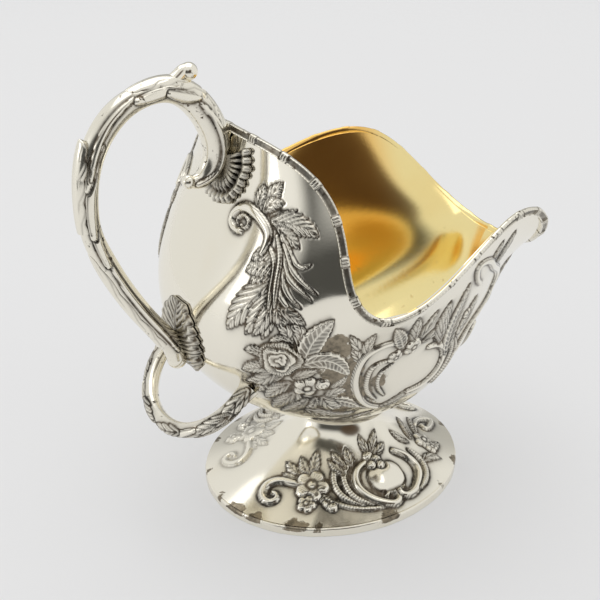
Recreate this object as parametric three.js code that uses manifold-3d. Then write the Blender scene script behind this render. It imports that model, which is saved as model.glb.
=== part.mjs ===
// Footed sugar scuttle: a helmet-shaped bowl of two stamped halves on an oval trumpet foot, with a
// ribbon border round the mouth, a cast leafy handle and a scoop ring behind the bowl.
// Millimetres. +Z is up, +X points to the pouring lip, and the near side is -Y.
import * as THREE from 'three';
import { mergeVertices } from 'three/addons/utils/BufferGeometryUtils.js';
import Module from 'manifold-3d';

// Sheet and joints
const BOWL_SHEET = 1.0;
const FOOT_SHEET = 1.0;
const SOLDER_GAP = 0.3;

// Foot: an oval edge band, a trumpet cone on it and a collar under the bowl
const FOOT_LENGTH = 86;
const FOOT_WIDTH = 75.6;
const BAND_HEIGHT = 3.2;
const BAND_WALL = 1.6;
const BAND_EDGE = 0.4;
const FOOT_FLARE = 2.0;
const NECK_SHARE = 0.75;
const COLLAR_WIDTH = 2.2;
const COLLAR_DROP = 2.6;

// Bowl: horizontal sections from the lowest upwards, as shares of its own sizes. rise is the height
// over the first section, back and front are the reaches along -X and +X, and half is the half width.
const BOWL_FLOOR = 26.5;
const BOWL_CAP_DEPTH = 4.2;
const BOWL_RISE = 96.5;
const BOWL_REACH = 71.5;
const BOWL_HALF = 54.5;
const BOWL_SECTIONS = [
  { rise: 0, back: 0.21, front: 0.266, half: 0.312 },
  { rise: 0.1295, back: 0.4965, front: 0.5175, half: 0.578 },
  { rise: 0.3057, back: 0.7063, front: 0.7552, half: 0.6972 },
  { rise: 0.5233, back: 0.7343, front: 0.8392, half: 0.8257 },
  { rise: 0.7617, back: 0.5804, front: 1, half: 0.9174 },
  { rise: 1, back: 0.4965, front: 0.979, half: 1 },
];
// Where the bowl is widest along X, at the first section, at mid height and at the top
const WIDEST_PLACES = [0.077, -0.126, 0.287];

// Mouth: rim height over the first section as a share of the bowl's rise, by angle round the bowl from
// the lip, and the flare of the rim as a share of the lip's own
const RIM_RISES = [
  { angle: 0, rise: 0.451 },
  { angle: 25, rise: 0.512 },
  { angle: 50, rise: 0.711 },
  { angle: 75, rise: 0.6735 },
  { angle: 100, rise: 0.5595 },
  { angle: 125, rise: 0.7595 },
  { angle: 150, rise: 0.948 },
  { angle: 180, rise: 1.0115 },
];
const LIP_FLARE = 8.5;
const LIP_FLARES = [
  { angle: 0, flare: 0.47 },
  { angle: 30, flare: 1 },
  { angle: 60, flare: 0 },
  { angle: 90, flare: 0.47 },
  { angle: 120, flare: -0.12 },
  { angle: 150, flare: -0.12 },
  { angle: 180, flare: 0 },
];
const FLARE_HEIGHT = 7.3;

// Rim border: a half-round strip with raised ribbon bands
const BORDER_WIDTH = 2.5;
const BORDER_PROUD = 1.0;
const BORDER_INSIDE = 0.8;
const RIBBON_PITCH = 11;
const RIBBON_LENGTH = 2.6;
const RIBBON_RAISE = 0.3;

// Handle: its middle line in the plane of symmetry, from the lower joint up and over. rise is the share
// of the height between the joints, and reach how far it stands behind the line through them.
const HANDLE_REACH = 42;
const HANDLE_THICK = 7.6;
const HANDLE_STATIONS = [
  { rise: -0.157, reach: -0.023, thick: 0.74 },
  { rise: -0.062, reach: 0.043, thick: 0.82 },
  { rise: 0.08, reach: 0.201, thick: 0.74 },
  { rise: 0.222, reach: 0.37, thick: 0.74 },
  { rise: 0.413, reach: 0.575, thick: 0.76 },
  { rise: 0.6, reach: 0.753, thick: 0.79 },
  { rise: 0.766, reach: 0.882, thick: 0.76 },
  { rise: 0.929, reach: 0.957, thick: 0.79 },
  { rise: 1.091, reach: 0.996, thick: 0.84 },
  { rise: 1.25, reach: 0.984, thick: 0.89 },
  { rise: 1.396, reach: 0.883, thick: 0.89 },
  { rise: 1.459, reach: 0.71, thick: 0.84 },
  { rise: 1.453, reach: 0.546, thick: 0.89 },
  { rise: 1.38, reach: 0.382, thick: 0.97 },
  { rise: 1.25, reach: 0.222, thick: 1 },
  { rise: 1.104, reach: 0.115, thick: 0.97 },
  { rise: 0.982, reach: 0.101, thick: 0.84 },
  { rise: 0.917, reach: 0.161, thick: 0.63 },
  { rise: 0.921, reach: 0.244, thick: 0.42 },
];
const HANDLE_BREADTH = 0.95;
const LOWER_BALL = 2.9;
const UPPER_BALL = 2;

// Thumb scroll on top of the handle, placed as the handle is
const SCROLL_STATIONS = [
  { rise: 1.475, reach: 0.659, thick: 0.45 },
  { rise: 1.495, reach: 0.572, thick: 0.47 },
  { rise: 1.532, reach: 0.515, thick: 0.45 },
  { rise: 1.55, reach: 0.484, thick: 0.42 },
  { rise: 1.538, reach: 0.45, thick: 0.39 },
];
const SCROLL_BALL = 2.4;

// Leaves cast over the outside of the bow: from the root to the point as shares of its length, spread
// is the half width as an angle and lift the share by which the point stands up
const LEAF_THICK = 0.75;
const LEAF_LIFT = 1.2;
const HANDLE_LEAVES = [
  { from: 0.08, to: 0.3, spread: 78, lift: 0.33 },
  { from: 0.36, to: 0.53, spread: 80, lift: 1 },
  { from: 0.72, to: 0.57, spread: 85, lift: 0.33 },
  { from: 0.73, to: 0.9, spread: 82, lift: 0.25 },
];
const LEAF_TEETH = 4;
const LEAF_TOOTH_DEPTH = 0.18;
const LEAF_RIB_SHARE = 0.75;

// Shell mount under the handle's upper end, its eye below the rim, and leaf mount under its lower end
const SHELL_DROP = 9.4;
const SHELL_RADIUS = 12.6;
const SHELL_LOBES = 11;
const SHELL_SWEEP = 230;
const SHELL_THICK = 0.55;
const SHELL_RELIEF = 1.5;
const SHELL_SCALLOP = 0.07;
const SHELL_EYE = 0.12;
const LEAF_MOUNT_HEIGHT = 23.5;
const LEAF_MOUNT_FOOT = 53.5;
const LEAF_MOUNT_HALF = 11.5;
const LEAF_MOUNT_THICK = 0.8;
const LEAF_MOUNT_RELIEF = 1.1;

// Scoop ring: a flat bow behind the bowl, tilted down and back, with spread ends on the bowl's sides.
// along is the share of its depth from the ends to the back, and half that of its half width.
const RING_ANGLE = 145.5;
const RING_HEIGHT = 54.5;
const RING_SINK = 0.6;
const RING_DEPTH = 24;
const RING_TILT = 42.8;
const RING_STATIONS = [
  { along: 0, half: 1 },
  { along: 0.528, half: 0.895 },
  { along: 0.882, half: 0.533 },
  { along: 1, half: 0 },
];
const RING_THICK = 4.6;
const RING_END_SPREAD = 8;

const NEAR = -1;
const FAR = 1;
const TAU = 2 * Math.PI;
const vec = (x, y, z) => new THREE.Vector3(x, y, z);
const range = (count, make) => Array.from({ length: count + 1 }, (_, i) => make(i / count, i));
const wave = (x) => Math.abs(Math.cos(x));

// Natural cubic spline through (xs, ys)
function spline(xs, ys) {
  const n = xs.length - 1;
  const second = new Array(n + 1).fill(0);
  const work = new Array(n + 1).fill(0);
  for (let i = 1; i < n; i++) {
    const share = (xs[i] - xs[i - 1]) / (xs[i + 1] - xs[i - 1]);
    const p = share * second[i - 1] + 2;
    const turn = (ys[i + 1] - ys[i]) / (xs[i + 1] - xs[i]) - (ys[i] - ys[i - 1]) / (xs[i] - xs[i - 1]);
    second[i] = (share - 1) / p;
    work[i] = ((6 * turn) / (xs[i + 1] - xs[i - 1]) - share * work[i - 1]) / p;
  }
  for (let i = n - 1; i >= 0; i--) second[i] = second[i] * second[i + 1] + work[i];
  return (x) => {
    let k = 0;
    while (k < n - 1 && x > xs[k + 1]) k++;
    const h = xs[k + 1] - xs[k];
    const a = (xs[k + 1] - x) / h;
    const b = (x - xs[k]) / h;
    const bend = ((a ** 3 - a) * second[k] + (b ** 3 - b) * second[k + 1]) * (h * h) / 6;
    return a * ys[k] + b * ys[k + 1] + bend;
  };
}

// Spline of an angle in radians that is the same on both sides of the bowl
function mirroredSpline(entries, key) {
  const at = entries.map((entry) => THREE.MathUtils.degToRad(entry.angle));
  const values = entries.map((entry) => entry[key]);
  const before = [2, 1];
  const after = [values.length - 2, values.length - 3];
  const xs = [...before.map((i) => -at[i]), ...at, ...after.map((i) => TAU - at[i])];
  const ys = [...before.map((i) => values[i]), ...values, ...after.map((i) => values[i])];
  const curve = spline(xs, ys);
  return (angle) => curve(Math.abs(angle));
}

// Bowl surface. u is the angle from the lip, negative on the near side, and z the height.
const sectionHeights = BOWL_SECTIONS.map(({ rise }) => BOWL_FLOOR + BOWL_RISE * rise);
const backAt = spline(sectionHeights, BOWL_SECTIONS.map(({ back }) => -BOWL_REACH * back));
const frontAt = spline(sectionHeights, BOWL_SECTIONS.map(({ front }) => BOWL_REACH * front));
const halfAt = spline(sectionHeights, BOWL_SECTIONS.map(({ half }) => BOWL_HALF * half));
const widestHeights = WIDEST_PLACES.map((_, i) => BOWL_FLOOR + (BOWL_RISE * i) / (WIDEST_PLACES.length - 1));
const widestAt = spline(widestHeights, WIDEST_PLACES.map((place) => BOWL_REACH * place));
const rimRise = mirroredSpline(RIM_RISES, 'rise');
const lipFlare = mirroredSpline(LIP_FLARES, 'flare');
const rimHeight = (u) => BOWL_FLOOR + BOWL_RISE * rimRise(u);
const bowlBottom = BOWL_FLOOR - BOWL_CAP_DEPTH;
const bottomCentre = vec((frontAt(BOWL_FLOOR) + backAt(BOWL_FLOOR)) / 2, 0, bowlBottom);

function wallPoint(u, z) {
  const back = backAt(z);
  const front = frontAt(z);
  const middle = (front + back) / 2;
  const egg = (middle - widestAt(z)) / 2;
  const flare = LIP_FLARE * lipFlare(u) * Math.exp(-(rimHeight(u) - z) / FLARE_HEIGHT);
  const x = middle - egg + ((front - back) / 2 + flare) * Math.cos(u) + egg * Math.cos(2 * u);
  return vec(x, (halfAt(z) + flare) * Math.sin(u), z);
}

function wallNormal(u, z) {
  const step = 0.01;
  const along = wallPoint(u + step, z).sub(wallPoint(u - step, z));
  const up = wallPoint(u, z + step).sub(wallPoint(u, z - step));
  return along.cross(up).normalize();
}

// The cap below the first section is a shallow dish: share runs from its centre to that section
function capPoint(u, share) {
  const edge = wallPoint(u, BOWL_FLOOR);
  const x = THREE.MathUtils.lerp(bottomCentre.x, edge.x, share);
  return vec(x, edge.y * share, bowlBottom + BOWL_CAP_DEPTH * share * share);
}

function capNormal(u, share) {
  const step = 0.01;
  const at = Math.max(share, 2 * step);
  const along = capPoint(u + step, at).sub(capPoint(u - step, at));
  const out = capPoint(u, at + step).sub(capPoint(u, at - step));
  const normal = along.cross(out).normalize();
  return share < step ? vec(0, 0, -1) : normal;
}

// Rim frame: the tangent, the outward normal and the direction across the rim, within the wall
function rimFrame(u) {
  const step = 0.005;
  const point = (a) => wallPoint(a, rimHeight(a));
  const tangent = point(u + step).sub(point(u - step)).normalize();
  const normal = wallNormal(u, rimHeight(u));
  const up = wallPoint(u, rimHeight(u) + step).sub(wallPoint(u, rimHeight(u) - step)).normalize();
  const across = normal.clone().cross(tangent).normalize();
  return { point: point(u), tangent, normal, up, across };
}

// Height of the sheet's top edge: below the border by half its width and the solder
const LEAST_SLANT = 0.25;

function sheetTop(u) {
  const { tangent, up } = rimFrame(u);
  const slant = Math.max(up.clone().cross(tangent).length(), LEAST_SLANT);
  return rimHeight(u) - ((BORDER_WIDTH / 2 + SOLDER_GAP) / slant) * up.z;
}

// Meshes
function solidFrom(points, faces) {
  const geometry = new THREE.BufferGeometry();
  geometry.setAttribute('position', new THREE.Float32BufferAttribute(points.flatMap((p) => p.toArray()), 3));
  geometry.setIndex(faces.flat());
  const welded = mergeVertices(geometry, 1e-3);
  const index = Array.from(welded.index.array);
  const kept = [];
  for (let i = 0; i < index.length; i += 3) {
    const [a, b, c] = index.slice(i, i + 3);
    if (a !== b && b !== c && c !== a) kept.push(a, b, c);
  }
  if (signedVolume(welded.attributes.position, kept) < 0) kept.reverse();
  welded.setIndex(kept);
  welded.computeVertexNormals();
  return welded;
}

function signedVolume(position, index) {
  const [a, b, c] = [vec(0, 0, 0), vec(0, 0, 0), vec(0, 0, 0)];
  let sum = 0;
  for (let i = 0; i < index.length; i += 3) {
    a.fromBufferAttribute(position, index[i]);
    b.fromBufferAttribute(position, index[i + 1]);
    c.fromBufferAttribute(position, index[i + 2]);
    sum += a.dot(b.cross(c));
  }
  return sum;
}

// Solid between two grids of points, outer[i][j] and inner[i][j]; round joins the last i to the first
function slab(outer, inner, round = false) {
  const rows = outer.length;
  const columns = outer[0].length;
  const points = [...outer.flat(), ...inner.flat()];
  const at = (side, i, j) => side * rows * columns + (i % rows) * columns + j;
  const faces = [];
  const quad = (a, b, c, d) => faces.push([a, b, c], [a, c, d]);
  const spans = round ? rows : rows - 1;
  for (let i = 0; i < spans; i++) {
    for (let j = 0; j < columns - 1; j++) {
      quad(at(0, i, j), at(0, i + 1, j), at(0, i + 1, j + 1), at(0, i, j + 1));
      quad(at(1, i, j), at(1, i, j + 1), at(1, i + 1, j + 1), at(1, i + 1, j));
    }
    quad(at(0, i, 0), at(1, i, 0), at(1, i + 1, 0), at(0, i + 1, 0));
    quad(at(0, i, columns - 1), at(0, i + 1, columns - 1), at(1, i + 1, columns - 1), at(1, i, columns - 1));
  }
  if (!round) {
    for (let j = 0; j < columns - 1; j++) {
      quad(at(0, 0, j), at(0, 0, j + 1), at(1, 0, j + 1), at(1, 0, j));
      quad(at(0, rows - 1, j), at(1, rows - 1, j), at(1, rows - 1, j + 1), at(0, rows - 1, j + 1));
    }
  }
  return solidFrom(points, faces);
}

// Solid through a row of closed loops of points, capped at both ends or joined into a ring
function loopLoft(loops, round = false) {
  const sides = loops[0].length;
  const points = loops.flat();
  const faces = [];
  const at = (i, j) => (i % loops.length) * sides + (j % sides);
  const spans = round ? loops.length : loops.length - 1;
  for (let i = 0; i < spans; i++) {
    for (let j = 0; j < sides; j++) {
      faces.push([at(i, j), at(i + 1, j), at(i + 1, j + 1)], [at(i, j), at(i + 1, j + 1), at(i, j + 1)]);
    }
  }
  if (!round) {
    for (let j = 1; j < sides - 1; j++) {
      faces.push([at(0, 0), at(0, j), at(0, j + 1)]);
      faces.push([at(loops.length - 1, 0), at(loops.length - 1, j + 1), at(loops.length - 1, j)]);
    }
  }
  return solidFrom(points, faces);
}

// Booleans
const wasm = await Module();
wasm.setup();

function toManifold(geometry) {
  const bare = geometry.clone();
  bare.deleteAttribute('normal');
  bare.deleteAttribute('uv');
  const merged = mergeVertices(bare, 1e-4);
  const mesh = new wasm.Mesh({
    numProp: 3,
    vertProperties: new Float32Array(merged.attributes.position.array),
    triVerts: new Uint32Array(merged.index.array),
  });
  return new wasm.Manifold(mesh);
}

// Edges shorter than SLIVER are leftovers of a cut, and go before the solid becomes a mesh
const SLIVER = 0.01;

function fromManifold(solid) {
  const mesh = solid.simplify(SLIVER).getMesh();
  const geometry = new THREE.BufferGeometry();
  geometry.setAttribute('position', new THREE.BufferAttribute(new Float32Array(mesh.vertProperties), 3));
  geometry.setIndex(Array.from(mesh.triVerts));
  geometry.computeVertexNormals();
  return geometry;
}

const joined = (geometries) => geometries.map(toManifold).reduce((all, next) => all.add(next));

// Cuts along curved seats can leave a crumb of metal behind, which the real joint doesn't have
function withoutCrumbs(solid) {
  const bodies = solid.decompose();
  return bodies.reduce((largest, body) => (body.volume() > largest.volume() ? body : largest));
}

// Bowl half: the sheet from the bottom's centre to the border, with its seam in the middle plane
const BOWL_COLUMNS = 34;
const CAP_ROWS = 3;
const WALL_ROWS = 13;
const ROW_CROWDING = 1.4;

function bowlGrid(side, offset) {
  return range(BOWL_COLUMNS, (share) => {
    const u = side * Math.PI * share;
    const top = sheetTop(u);
    const cap = range(CAP_ROWS, (k) => capPoint(u, k).addScaledVector(capNormal(u, k), offset));
    const wall = range(WALL_ROWS, (k) => {
      const z = THREE.MathUtils.lerp(BOWL_FLOOR, top, 1 - (1 - k) ** ROW_CROWDING);
      return wallPoint(u, z).addScaledVector(wallNormal(u, z), offset);
    });
    const column = [...cap.slice(0, -1), ...wall];
    if (share === 0 || share === 1) column.forEach((point) => point.setY(0));
    return column;
  });
}

const bowlHalf = (side) => slab(bowlGrid(side, 0), bowlGrid(side, -BOWL_SHEET));

// Rim border: one strip for each side, meeting in the middle plane
const BORDER_STEPS = 76;
const BORDER_SAMPLES = 400;
// Section of the strip: out as a share of its proud or inside depth and over of its half width; band
// and top are the shares of a ribbon band's raise that go out and up
const BORDER_SECTION = [
  { out: -1, over: -1 },
  { out: 0.7, over: -1 },
  { out: 1, over: -0.35, band: 1 },
  { out: 1, over: 0.45, band: 1 },
  { out: 0.55, over: 1, top: 0.5 },
  { out: -0.4, over: 1, top: 0.5 },
  { out: -1, over: 0.5 },
];

function borderStrip(side, grow = 0) {
  const stations = range(BORDER_SAMPLES, (share) => rimFrame(side * Math.PI * share).point);
  const travelled = [0];
  stations.slice(1).forEach((point, i) => travelled.push(travelled[i] + point.distanceTo(stations[i])));
  const length = travelled[travelled.length - 1];
  const bands = Math.round(length / RIBBON_PITCH);
  const shareAt = (distance) => {
    const i = Math.max(1, travelled.findIndex((value) => value >= distance - 1e-9));
    const part = (distance - travelled[i - 1]) / (travelled[i] - travelled[i - 1]);
    return (i - 1 + part) / (stations.length - 1);
  };
  const half = BORDER_WIDTH / 2 + grow;
  const proud = BORDER_PROUD + grow;
  const inside = BORDER_INSIDE + grow;
  const loops = range(BORDER_STEPS, (k) => {
    const distance = k * length;
    const { point, normal, across } = rimFrame(side * Math.PI * shareAt(distance));
    const phase = (distance / length) * bands;
    const away = Math.abs(phase - Math.round(phase)) * RIBBON_PITCH;
    const raise = away < RIBBON_LENGTH / 2 ? RIBBON_RAISE : 0;
    const loop = BORDER_SECTION.map(({ out, over, band = 0, top = 0 }) => {
      const depth = out * (out > 0 ? proud : inside) + raise * band;
      return point.clone()
        .addScaledVector(normal, depth)
        .addScaledVector(across, side * (half * over + raise * top));
    });
    if (k === 0 || k === 1) loop.forEach((corner) => corner.setY(0));
    return loop;
  });
  return loopLoft(loops);
}

// Foot: oval rings that shrink from the edge band to the neck under the bowl
const FOOT_COLUMNS = 48;
const FOOT_ROWS = 7;
const FOOT_EDGE_SHARE = 1 / 6;
const neckRadius = NECK_SHARE * halfAt(BOWL_FLOOR);
const innerNeckShare = NECK_SHARE * (1 - FOOT_SHEET / neckRadius);
const coneBottom = BAND_HEIGHT + SOLDER_GAP;

function oval(angle, inset) {
  return vec((FOOT_LENGTH / 2 - inset) * Math.cos(angle), (FOOT_WIDTH / 2 - inset) * Math.sin(angle), 0);
}

function conePoint(angle, share, inset) {
  const neckShare = inset > 0 ? innerNeckShare : NECK_SHARE;
  const neck = capPoint(angle, neckShare);
  const edge = oval(angle, BAND_EDGE + inset);
  const spread = (1 - share) ** FOOT_FLARE;
  const top = neck.z - SOLDER_GAP;
  const drop = inset * (1 - share) * Math.min(1, share / FOOT_EDGE_SHARE);
  return vec(
    THREE.MathUtils.lerp(neck.x, edge.x, spread),
    THREE.MathUtils.lerp(neck.y, edge.y, spread),
    THREE.MathUtils.lerp(coneBottom, top, share) - drop,
  );
}

function footCone() {
  const grid = (inset) => range(FOOT_COLUMNS - 1, (_, i) => (
    range(FOOT_ROWS, (share) => conePoint((i / FOOT_COLUMNS) * TAU, share, inset))
  ));
  return slab(grid(0), grid(FOOT_SHEET), true);
}

function footBand() {
  const profile = [
    [BAND_WALL, 0],
    [BAND_EDGE / 2, 0],
    [0, BAND_EDGE],
    [0, BAND_HEIGHT - BAND_EDGE],
    [BAND_EDGE / 2, BAND_HEIGHT],
    [BAND_WALL, BAND_HEIGHT],
  ];
  const loops = range(FOOT_COLUMNS - 1, (_, i) => (
    profile.map(([inset, z]) => oval((i / FOOT_COLUMNS) * TAU, inset).setZ(z))
  ));
  return loopLoft(loops, true);
}

// Section of the collar: across from its inside outwards, and down from the seat on the bowl
const COLLAR_SECTION = [
  { across: 0, down: 0 },
  { across: 1, down: 0 },
  { across: 0.9, down: 0.45 },
  { across: 0.5, down: 0.85 },
  { across: 0.12, down: 1 },
];

function footCollar() {
  const shareOf = (length) => (length / neckRadius) * NECK_SHARE;
  const inner = NECK_SHARE + shareOf(SOLDER_GAP);
  const loops = range(FOOT_COLUMNS - 1, (_, i) => COLLAR_SECTION.map(({ across, down }) => {
    const point = capPoint((i / FOOT_COLUMNS) * TAU, inner + shareOf(COLLAR_WIDTH * across));
    return point.setZ(point.z - SOLDER_GAP - COLLAR_DROP * down);
  }));
  return loopLoft(loops, true);
}

// Joints of the handle: on the shell mount, whose eye hangs below the rim, and on the leaf mount
const shellHeight = rimHeight(Math.PI) - SHELL_DROP;
const lowerJoint = LEAF_MOUNT_FOOT + LEAF_MOUNT_HEIGHT / 2;

function handlePlace({ rise, reach }) {
  const line = THREE.MathUtils.lerp(backAt(lowerJoint), backAt(shellHeight), rise);
  return vec(line - HANDLE_REACH * reach, 0, THREE.MathUtils.lerp(lowerJoint, shellHeight, rise));
}

// Swept bar in the plane of symmetry, with its thickness from the stations
function bar(stations) {
  const curve = new THREE.CatmullRomCurve3(stations.map(handlePlace), false, 'centripetal');
  const thicks = stations.map(({ thick }) => (HANDLE_THICK * thick) / 2);
  const thickCurve = spline(thicks.map((_, i) => i / (thicks.length - 1)), thicks);
  const frame = (share) => {
    const tangent = curve.getTangent(share);
    const outside = vec(-tangent.z, 0, tangent.x);
    return { point: curve.getPoint(share), tangent, outside, radius: thickCurve(share) };
  };
  const surface = (share, angle, offset) => {
    const { point, outside, radius } = frame(share);
    const reach = radius + offset;
    point.addScaledVector(outside, reach * Math.cos(angle));
    return point.setY(reach * HANDLE_BREADTH * Math.sin(angle));
  };
  return { frame, surface };
}

function barSolid({ surface }, steps, sides) {
  return loopLoft(range(steps, (share) => (
    range(sides - 1, (_, j) => surface(share, (j / sides) * TAU, 0))
  )));
}

function ball(radius, centre) {
  const geometry = new THREE.SphereGeometry(radius, BALL_SEGMENTS, BALL_RINGS);
  geometry.translate(centre.x, centre.y, centre.z);
  return geometry;
}

// Leaf wrapped over the bar: full and toothed at its root, drawn to a lifted point
const LEAF_STEPS = 10;
const LEAF_COLUMNS = 4;
const LEAF_TAPER = 2.4;
const LEAF_TIP = 0.05;
const teeth = (k) => 1 - LEAF_TOOTH_DEPTH * (1 - wave(k * Math.PI * LEAF_TEETH));

function barLeaf({ surface }, { from, to, spread, lift }) {
  const half = THREE.MathUtils.degToRad(spread);
  const grid = (inner) => range(LEAF_STEPS, (k) => {
    const share = THREE.MathUtils.lerp(from, to, k);
    const outline = Math.sqrt(Math.max(0, 1 - k ** LEAF_TAPER)) * teeth(k);
    const width = Math.max(half * outline, LEAF_TIP);
    const raised = LEAF_LIFT * lift * k ** 3;
    return range(LEAF_COLUMNS, (j) => {
      const across = 2 * j - 1;
      const vein = 1 - LEAF_RIB_SHARE * across * across;
      const offset = inner ? -LEAF_THICK : raised + LEAF_THICK * vein;
      return surface(share, across * width, offset);
    });
  });
  return slab(grid(false), grid(true));
}

// Mounts on the back of the bowl: a point of the wall from its sideways place and height
function backPoint(y, z, offset) {
  const u = Math.PI - Math.asin(THREE.MathUtils.clamp(y / halfAt(z), -1, 1));
  return wallPoint(u, z).addScaledVector(wallNormal(u, z), offset);
}

// Shell mount: gadroons fan out below the handle's upper joint
const SHELL_STEPS_PER_LOBE = 4;
const SHELL_ROWS = 5;
const SHELL_FLUTE_DEPTH = 0.7;
// A mount swells and sinks again as half a wave does, less a share of the wave at each end
const SHELL_EYE_SHARE = 0.15;
const SHELL_EDGE_SHARE = 0.05;
const LEAF_END_SHARE = 0.06;
const SWELL_POWER = 0.65;
const swell = (k, first, last) => Math.sin(Math.PI * THREE.MathUtils.lerp(first, 1 - last, k)) ** SWELL_POWER;

function shellMount(grow = 0, depth = 0) {
  const sweep = THREE.MathUtils.degToRad(SHELL_SWEEP);
  const grid = (inner) => range(SHELL_LOBES * SHELL_STEPS_PER_LOBE, (share) => {
    const lobe = Math.abs(Math.sin(share * SHELL_LOBES * Math.PI));
    const angle = (share - 0.5) * sweep;
    const reach = SHELL_RADIUS * (1 - SHELL_SCALLOP * (1 - lobe));
    return range(SHELL_ROWS, (k) => {
      const radius = reach * THREE.MathUtils.lerp(SHELL_EYE, 1, k);
      const flute = 1 - SHELL_FLUTE_DEPTH * (1 - lobe);
      const outside = SOLDER_GAP + SHELL_THICK + SHELL_RELIEF * flute * swell(k, SHELL_EYE_SHARE, SHELL_EDGE_SHARE);
      const offset = inner ? SOLDER_GAP - depth : outside + grow;
      return backPoint(radius * Math.sin(angle), shellHeight - radius * Math.cos(angle), offset);
    });
  });
  return slab(grid(false), grid(true));
}

// Leaf mount: a pointed leaf with a raised rib and curled edges below the handle's lower joint
const MOUNT_ROWS = 14;
const MOUNT_COLUMNS = 10;
const EDGE_CURL = 2.2;
const RIB_RISE = 0.35;

function leafMount(grow = 0, depth = 0) {
  const grid = (inner) => range(MOUNT_ROWS, (k) => {
    const body = swell(k, LEAF_END_SHARE, LEAF_END_SHARE);
    const half = LEAF_MOUNT_HALF * body * teeth(k);
    const z = LEAF_MOUNT_FOOT + LEAF_MOUNT_HEIGHT * k;
    return range(MOUNT_COLUMNS, (j) => {
      const across = 2 * j - 1;
      const curl = EDGE_CURL * across ** 2 * (1 - across ** 4) + RIB_RISE * (1 - across ** 2);
      const outside = SOLDER_GAP + LEAF_MOUNT_THICK + LEAF_MOUNT_RELIEF * curl * body;
      const offset = inner ? SOLDER_GAP - depth : outside + grow;
      return backPoint(across * half, z, offset);
    });
  });
  return slab(grid(false), grid(true));
}

// Handle: the bow, its leaves, the thumb scroll and the end curls in one casting, cut back to seat on
// the two mounts, the border and the bowl with room for the solder
const HANDLE_STEPS = 44;
const HANDLE_SIDES = 10;
const SCROLL_STEPS = 10;
const SCROLL_SIDES = 8;
const BALL_SEGMENTS = 10;
const BALL_RINGS = 7;
const CUT_DEPTH = 7;

function bowlCutter(side) {
  return toManifold(slab(bowlGrid(side, SOLDER_GAP), bowlGrid(side, -CUT_DEPTH)));
}

function handle() {
  const bow = bar(HANDLE_STATIONS);
  const scroll = bar(SCROLL_STATIONS);
  const casting = joined([
    barSolid(bow, HANDLE_STEPS, HANDLE_SIDES),
    barSolid(scroll, SCROLL_STEPS, SCROLL_SIDES),
    ball(SCROLL_BALL, scroll.frame(1).point),
    ball(LOWER_BALL, bow.frame(0).point),
    ball(UPPER_BALL, bow.frame(1).point),
    ...HANDLE_LEAVES.map((leaf) => barLeaf(bow, leaf)),
  ]);
  const cutters = [
    toManifold(shellMount(SOLDER_GAP, CUT_DEPTH)),
    toManifold(leafMount(SOLDER_GAP, CUT_DEPTH)),
    toManifold(borderStrip(NEAR, SOLDER_GAP)),
    toManifold(borderStrip(FAR, SOLDER_GAP)),
    bowlCutter(NEAR),
    bowlCutter(FAR),
  ];
  return fromManifold(withoutCrumbs(cutters.reduce((left, cutter) => left.subtract(cutter), casting)));
}

// Scoop ring: the bow's bar spreads and flattens at both ends, where it is soldered to the bowl
const RING_STEPS = 36;
const RING_SIDES = 8;
const SPREAD_POWER = 8;

function scoopRing() {
  const seat = THREE.MathUtils.degToRad(RING_ANGLE);
  const end = wallPoint(seat, RING_HEIGHT).addScaledVector(wallNormal(seat, RING_HEIGHT), -RING_SINK);
  const tilt = THREE.MathUtils.degToRad(RING_TILT);
  const downBack = vec(-Math.cos(tilt), 0, -Math.sin(tilt));
  const place = (side) => ({ along, half }) => (
    vec(end.x, side * end.y * half, end.z).addScaledVector(downBack, RING_DEPTH * along)
  );
  const route = [...RING_STATIONS.map(place(NEAR)), ...RING_STATIONS.slice(0, -1).reverse().map(place(FAR))];
  const curve = new THREE.CatmullRomCurve3(route, false, 'centripetal');
  const face = vec(-downBack.z, 0, downBack.x);
  const loops = range(RING_STEPS, (share) => {
    const point = curve.getPoint(share);
    const tangent = curve.getTangent(share);
    const outward = tangent.clone().cross(face).normalize();
    const nearEnd = 2 * Math.abs(share - 0.5);
    const spread = THREE.MathUtils.lerp(1, RING_END_SPREAD / RING_THICK, nearEnd ** SPREAD_POWER);
    const half = RING_THICK / 2;
    return range(RING_SIDES - 1, (_, j) => {
      const angle = (j / RING_SIDES) * TAU;
      return point.clone()
        .addScaledVector(outward, half * Math.cos(angle) * spread)
        .addScaledVector(face, (half * Math.sin(angle)) / Math.sqrt(spread));
    });
  });
  const ring = toManifold(loopLoft(loops));
  return fromManifold(withoutCrumbs(ring.subtract(bowlCutter(NEAR)).subtract(bowlCutter(FAR))));
}

// Assembly
const silver = (color, roughness) => new THREE.MeshStandardMaterial({ color, roughness, metalness: 1 });
const POLISHED = [0xd9d5c8, 0.18];
const CAST = [0xcfc9ba, 0.3];
const WORN = [0xc4bda9, 0.34];

const group = new THREE.Group();

function add(name, geometry, [color, roughness]) {
  const mesh = new THREE.Mesh(geometry, silver(color, roughness));
  mesh.name = name;
  group.add(mesh);
}

add('bowl_near_half', bowlHalf(NEAR), POLISHED);
add('bowl_far_half', bowlHalf(FAR), POLISHED);
add('rim_border_near', borderStrip(NEAR), CAST);
add('rim_border_far', borderStrip(FAR), CAST);
add('handle', handle(), CAST);
add('handle_shell_mount', shellMount(), CAST);
add('handle_leaf_mount', leafMount(), CAST);
add('scoop_ring', scoopRing(), CAST);
add('foot_cone', footCone(), POLISHED);
add('foot_edge_band', footBand(), WORN);
add('foot_collar', footCollar(), WORN);

// The origin is below the middle of the whole outline, at the height that the foot stands on
const centre = new THREE.Box3().setFromObject(group).getCenter(vec(0, 0, 0));
group.position.set(-centre.x, -centre.y, 0);

export default group;
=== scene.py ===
import math

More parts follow.
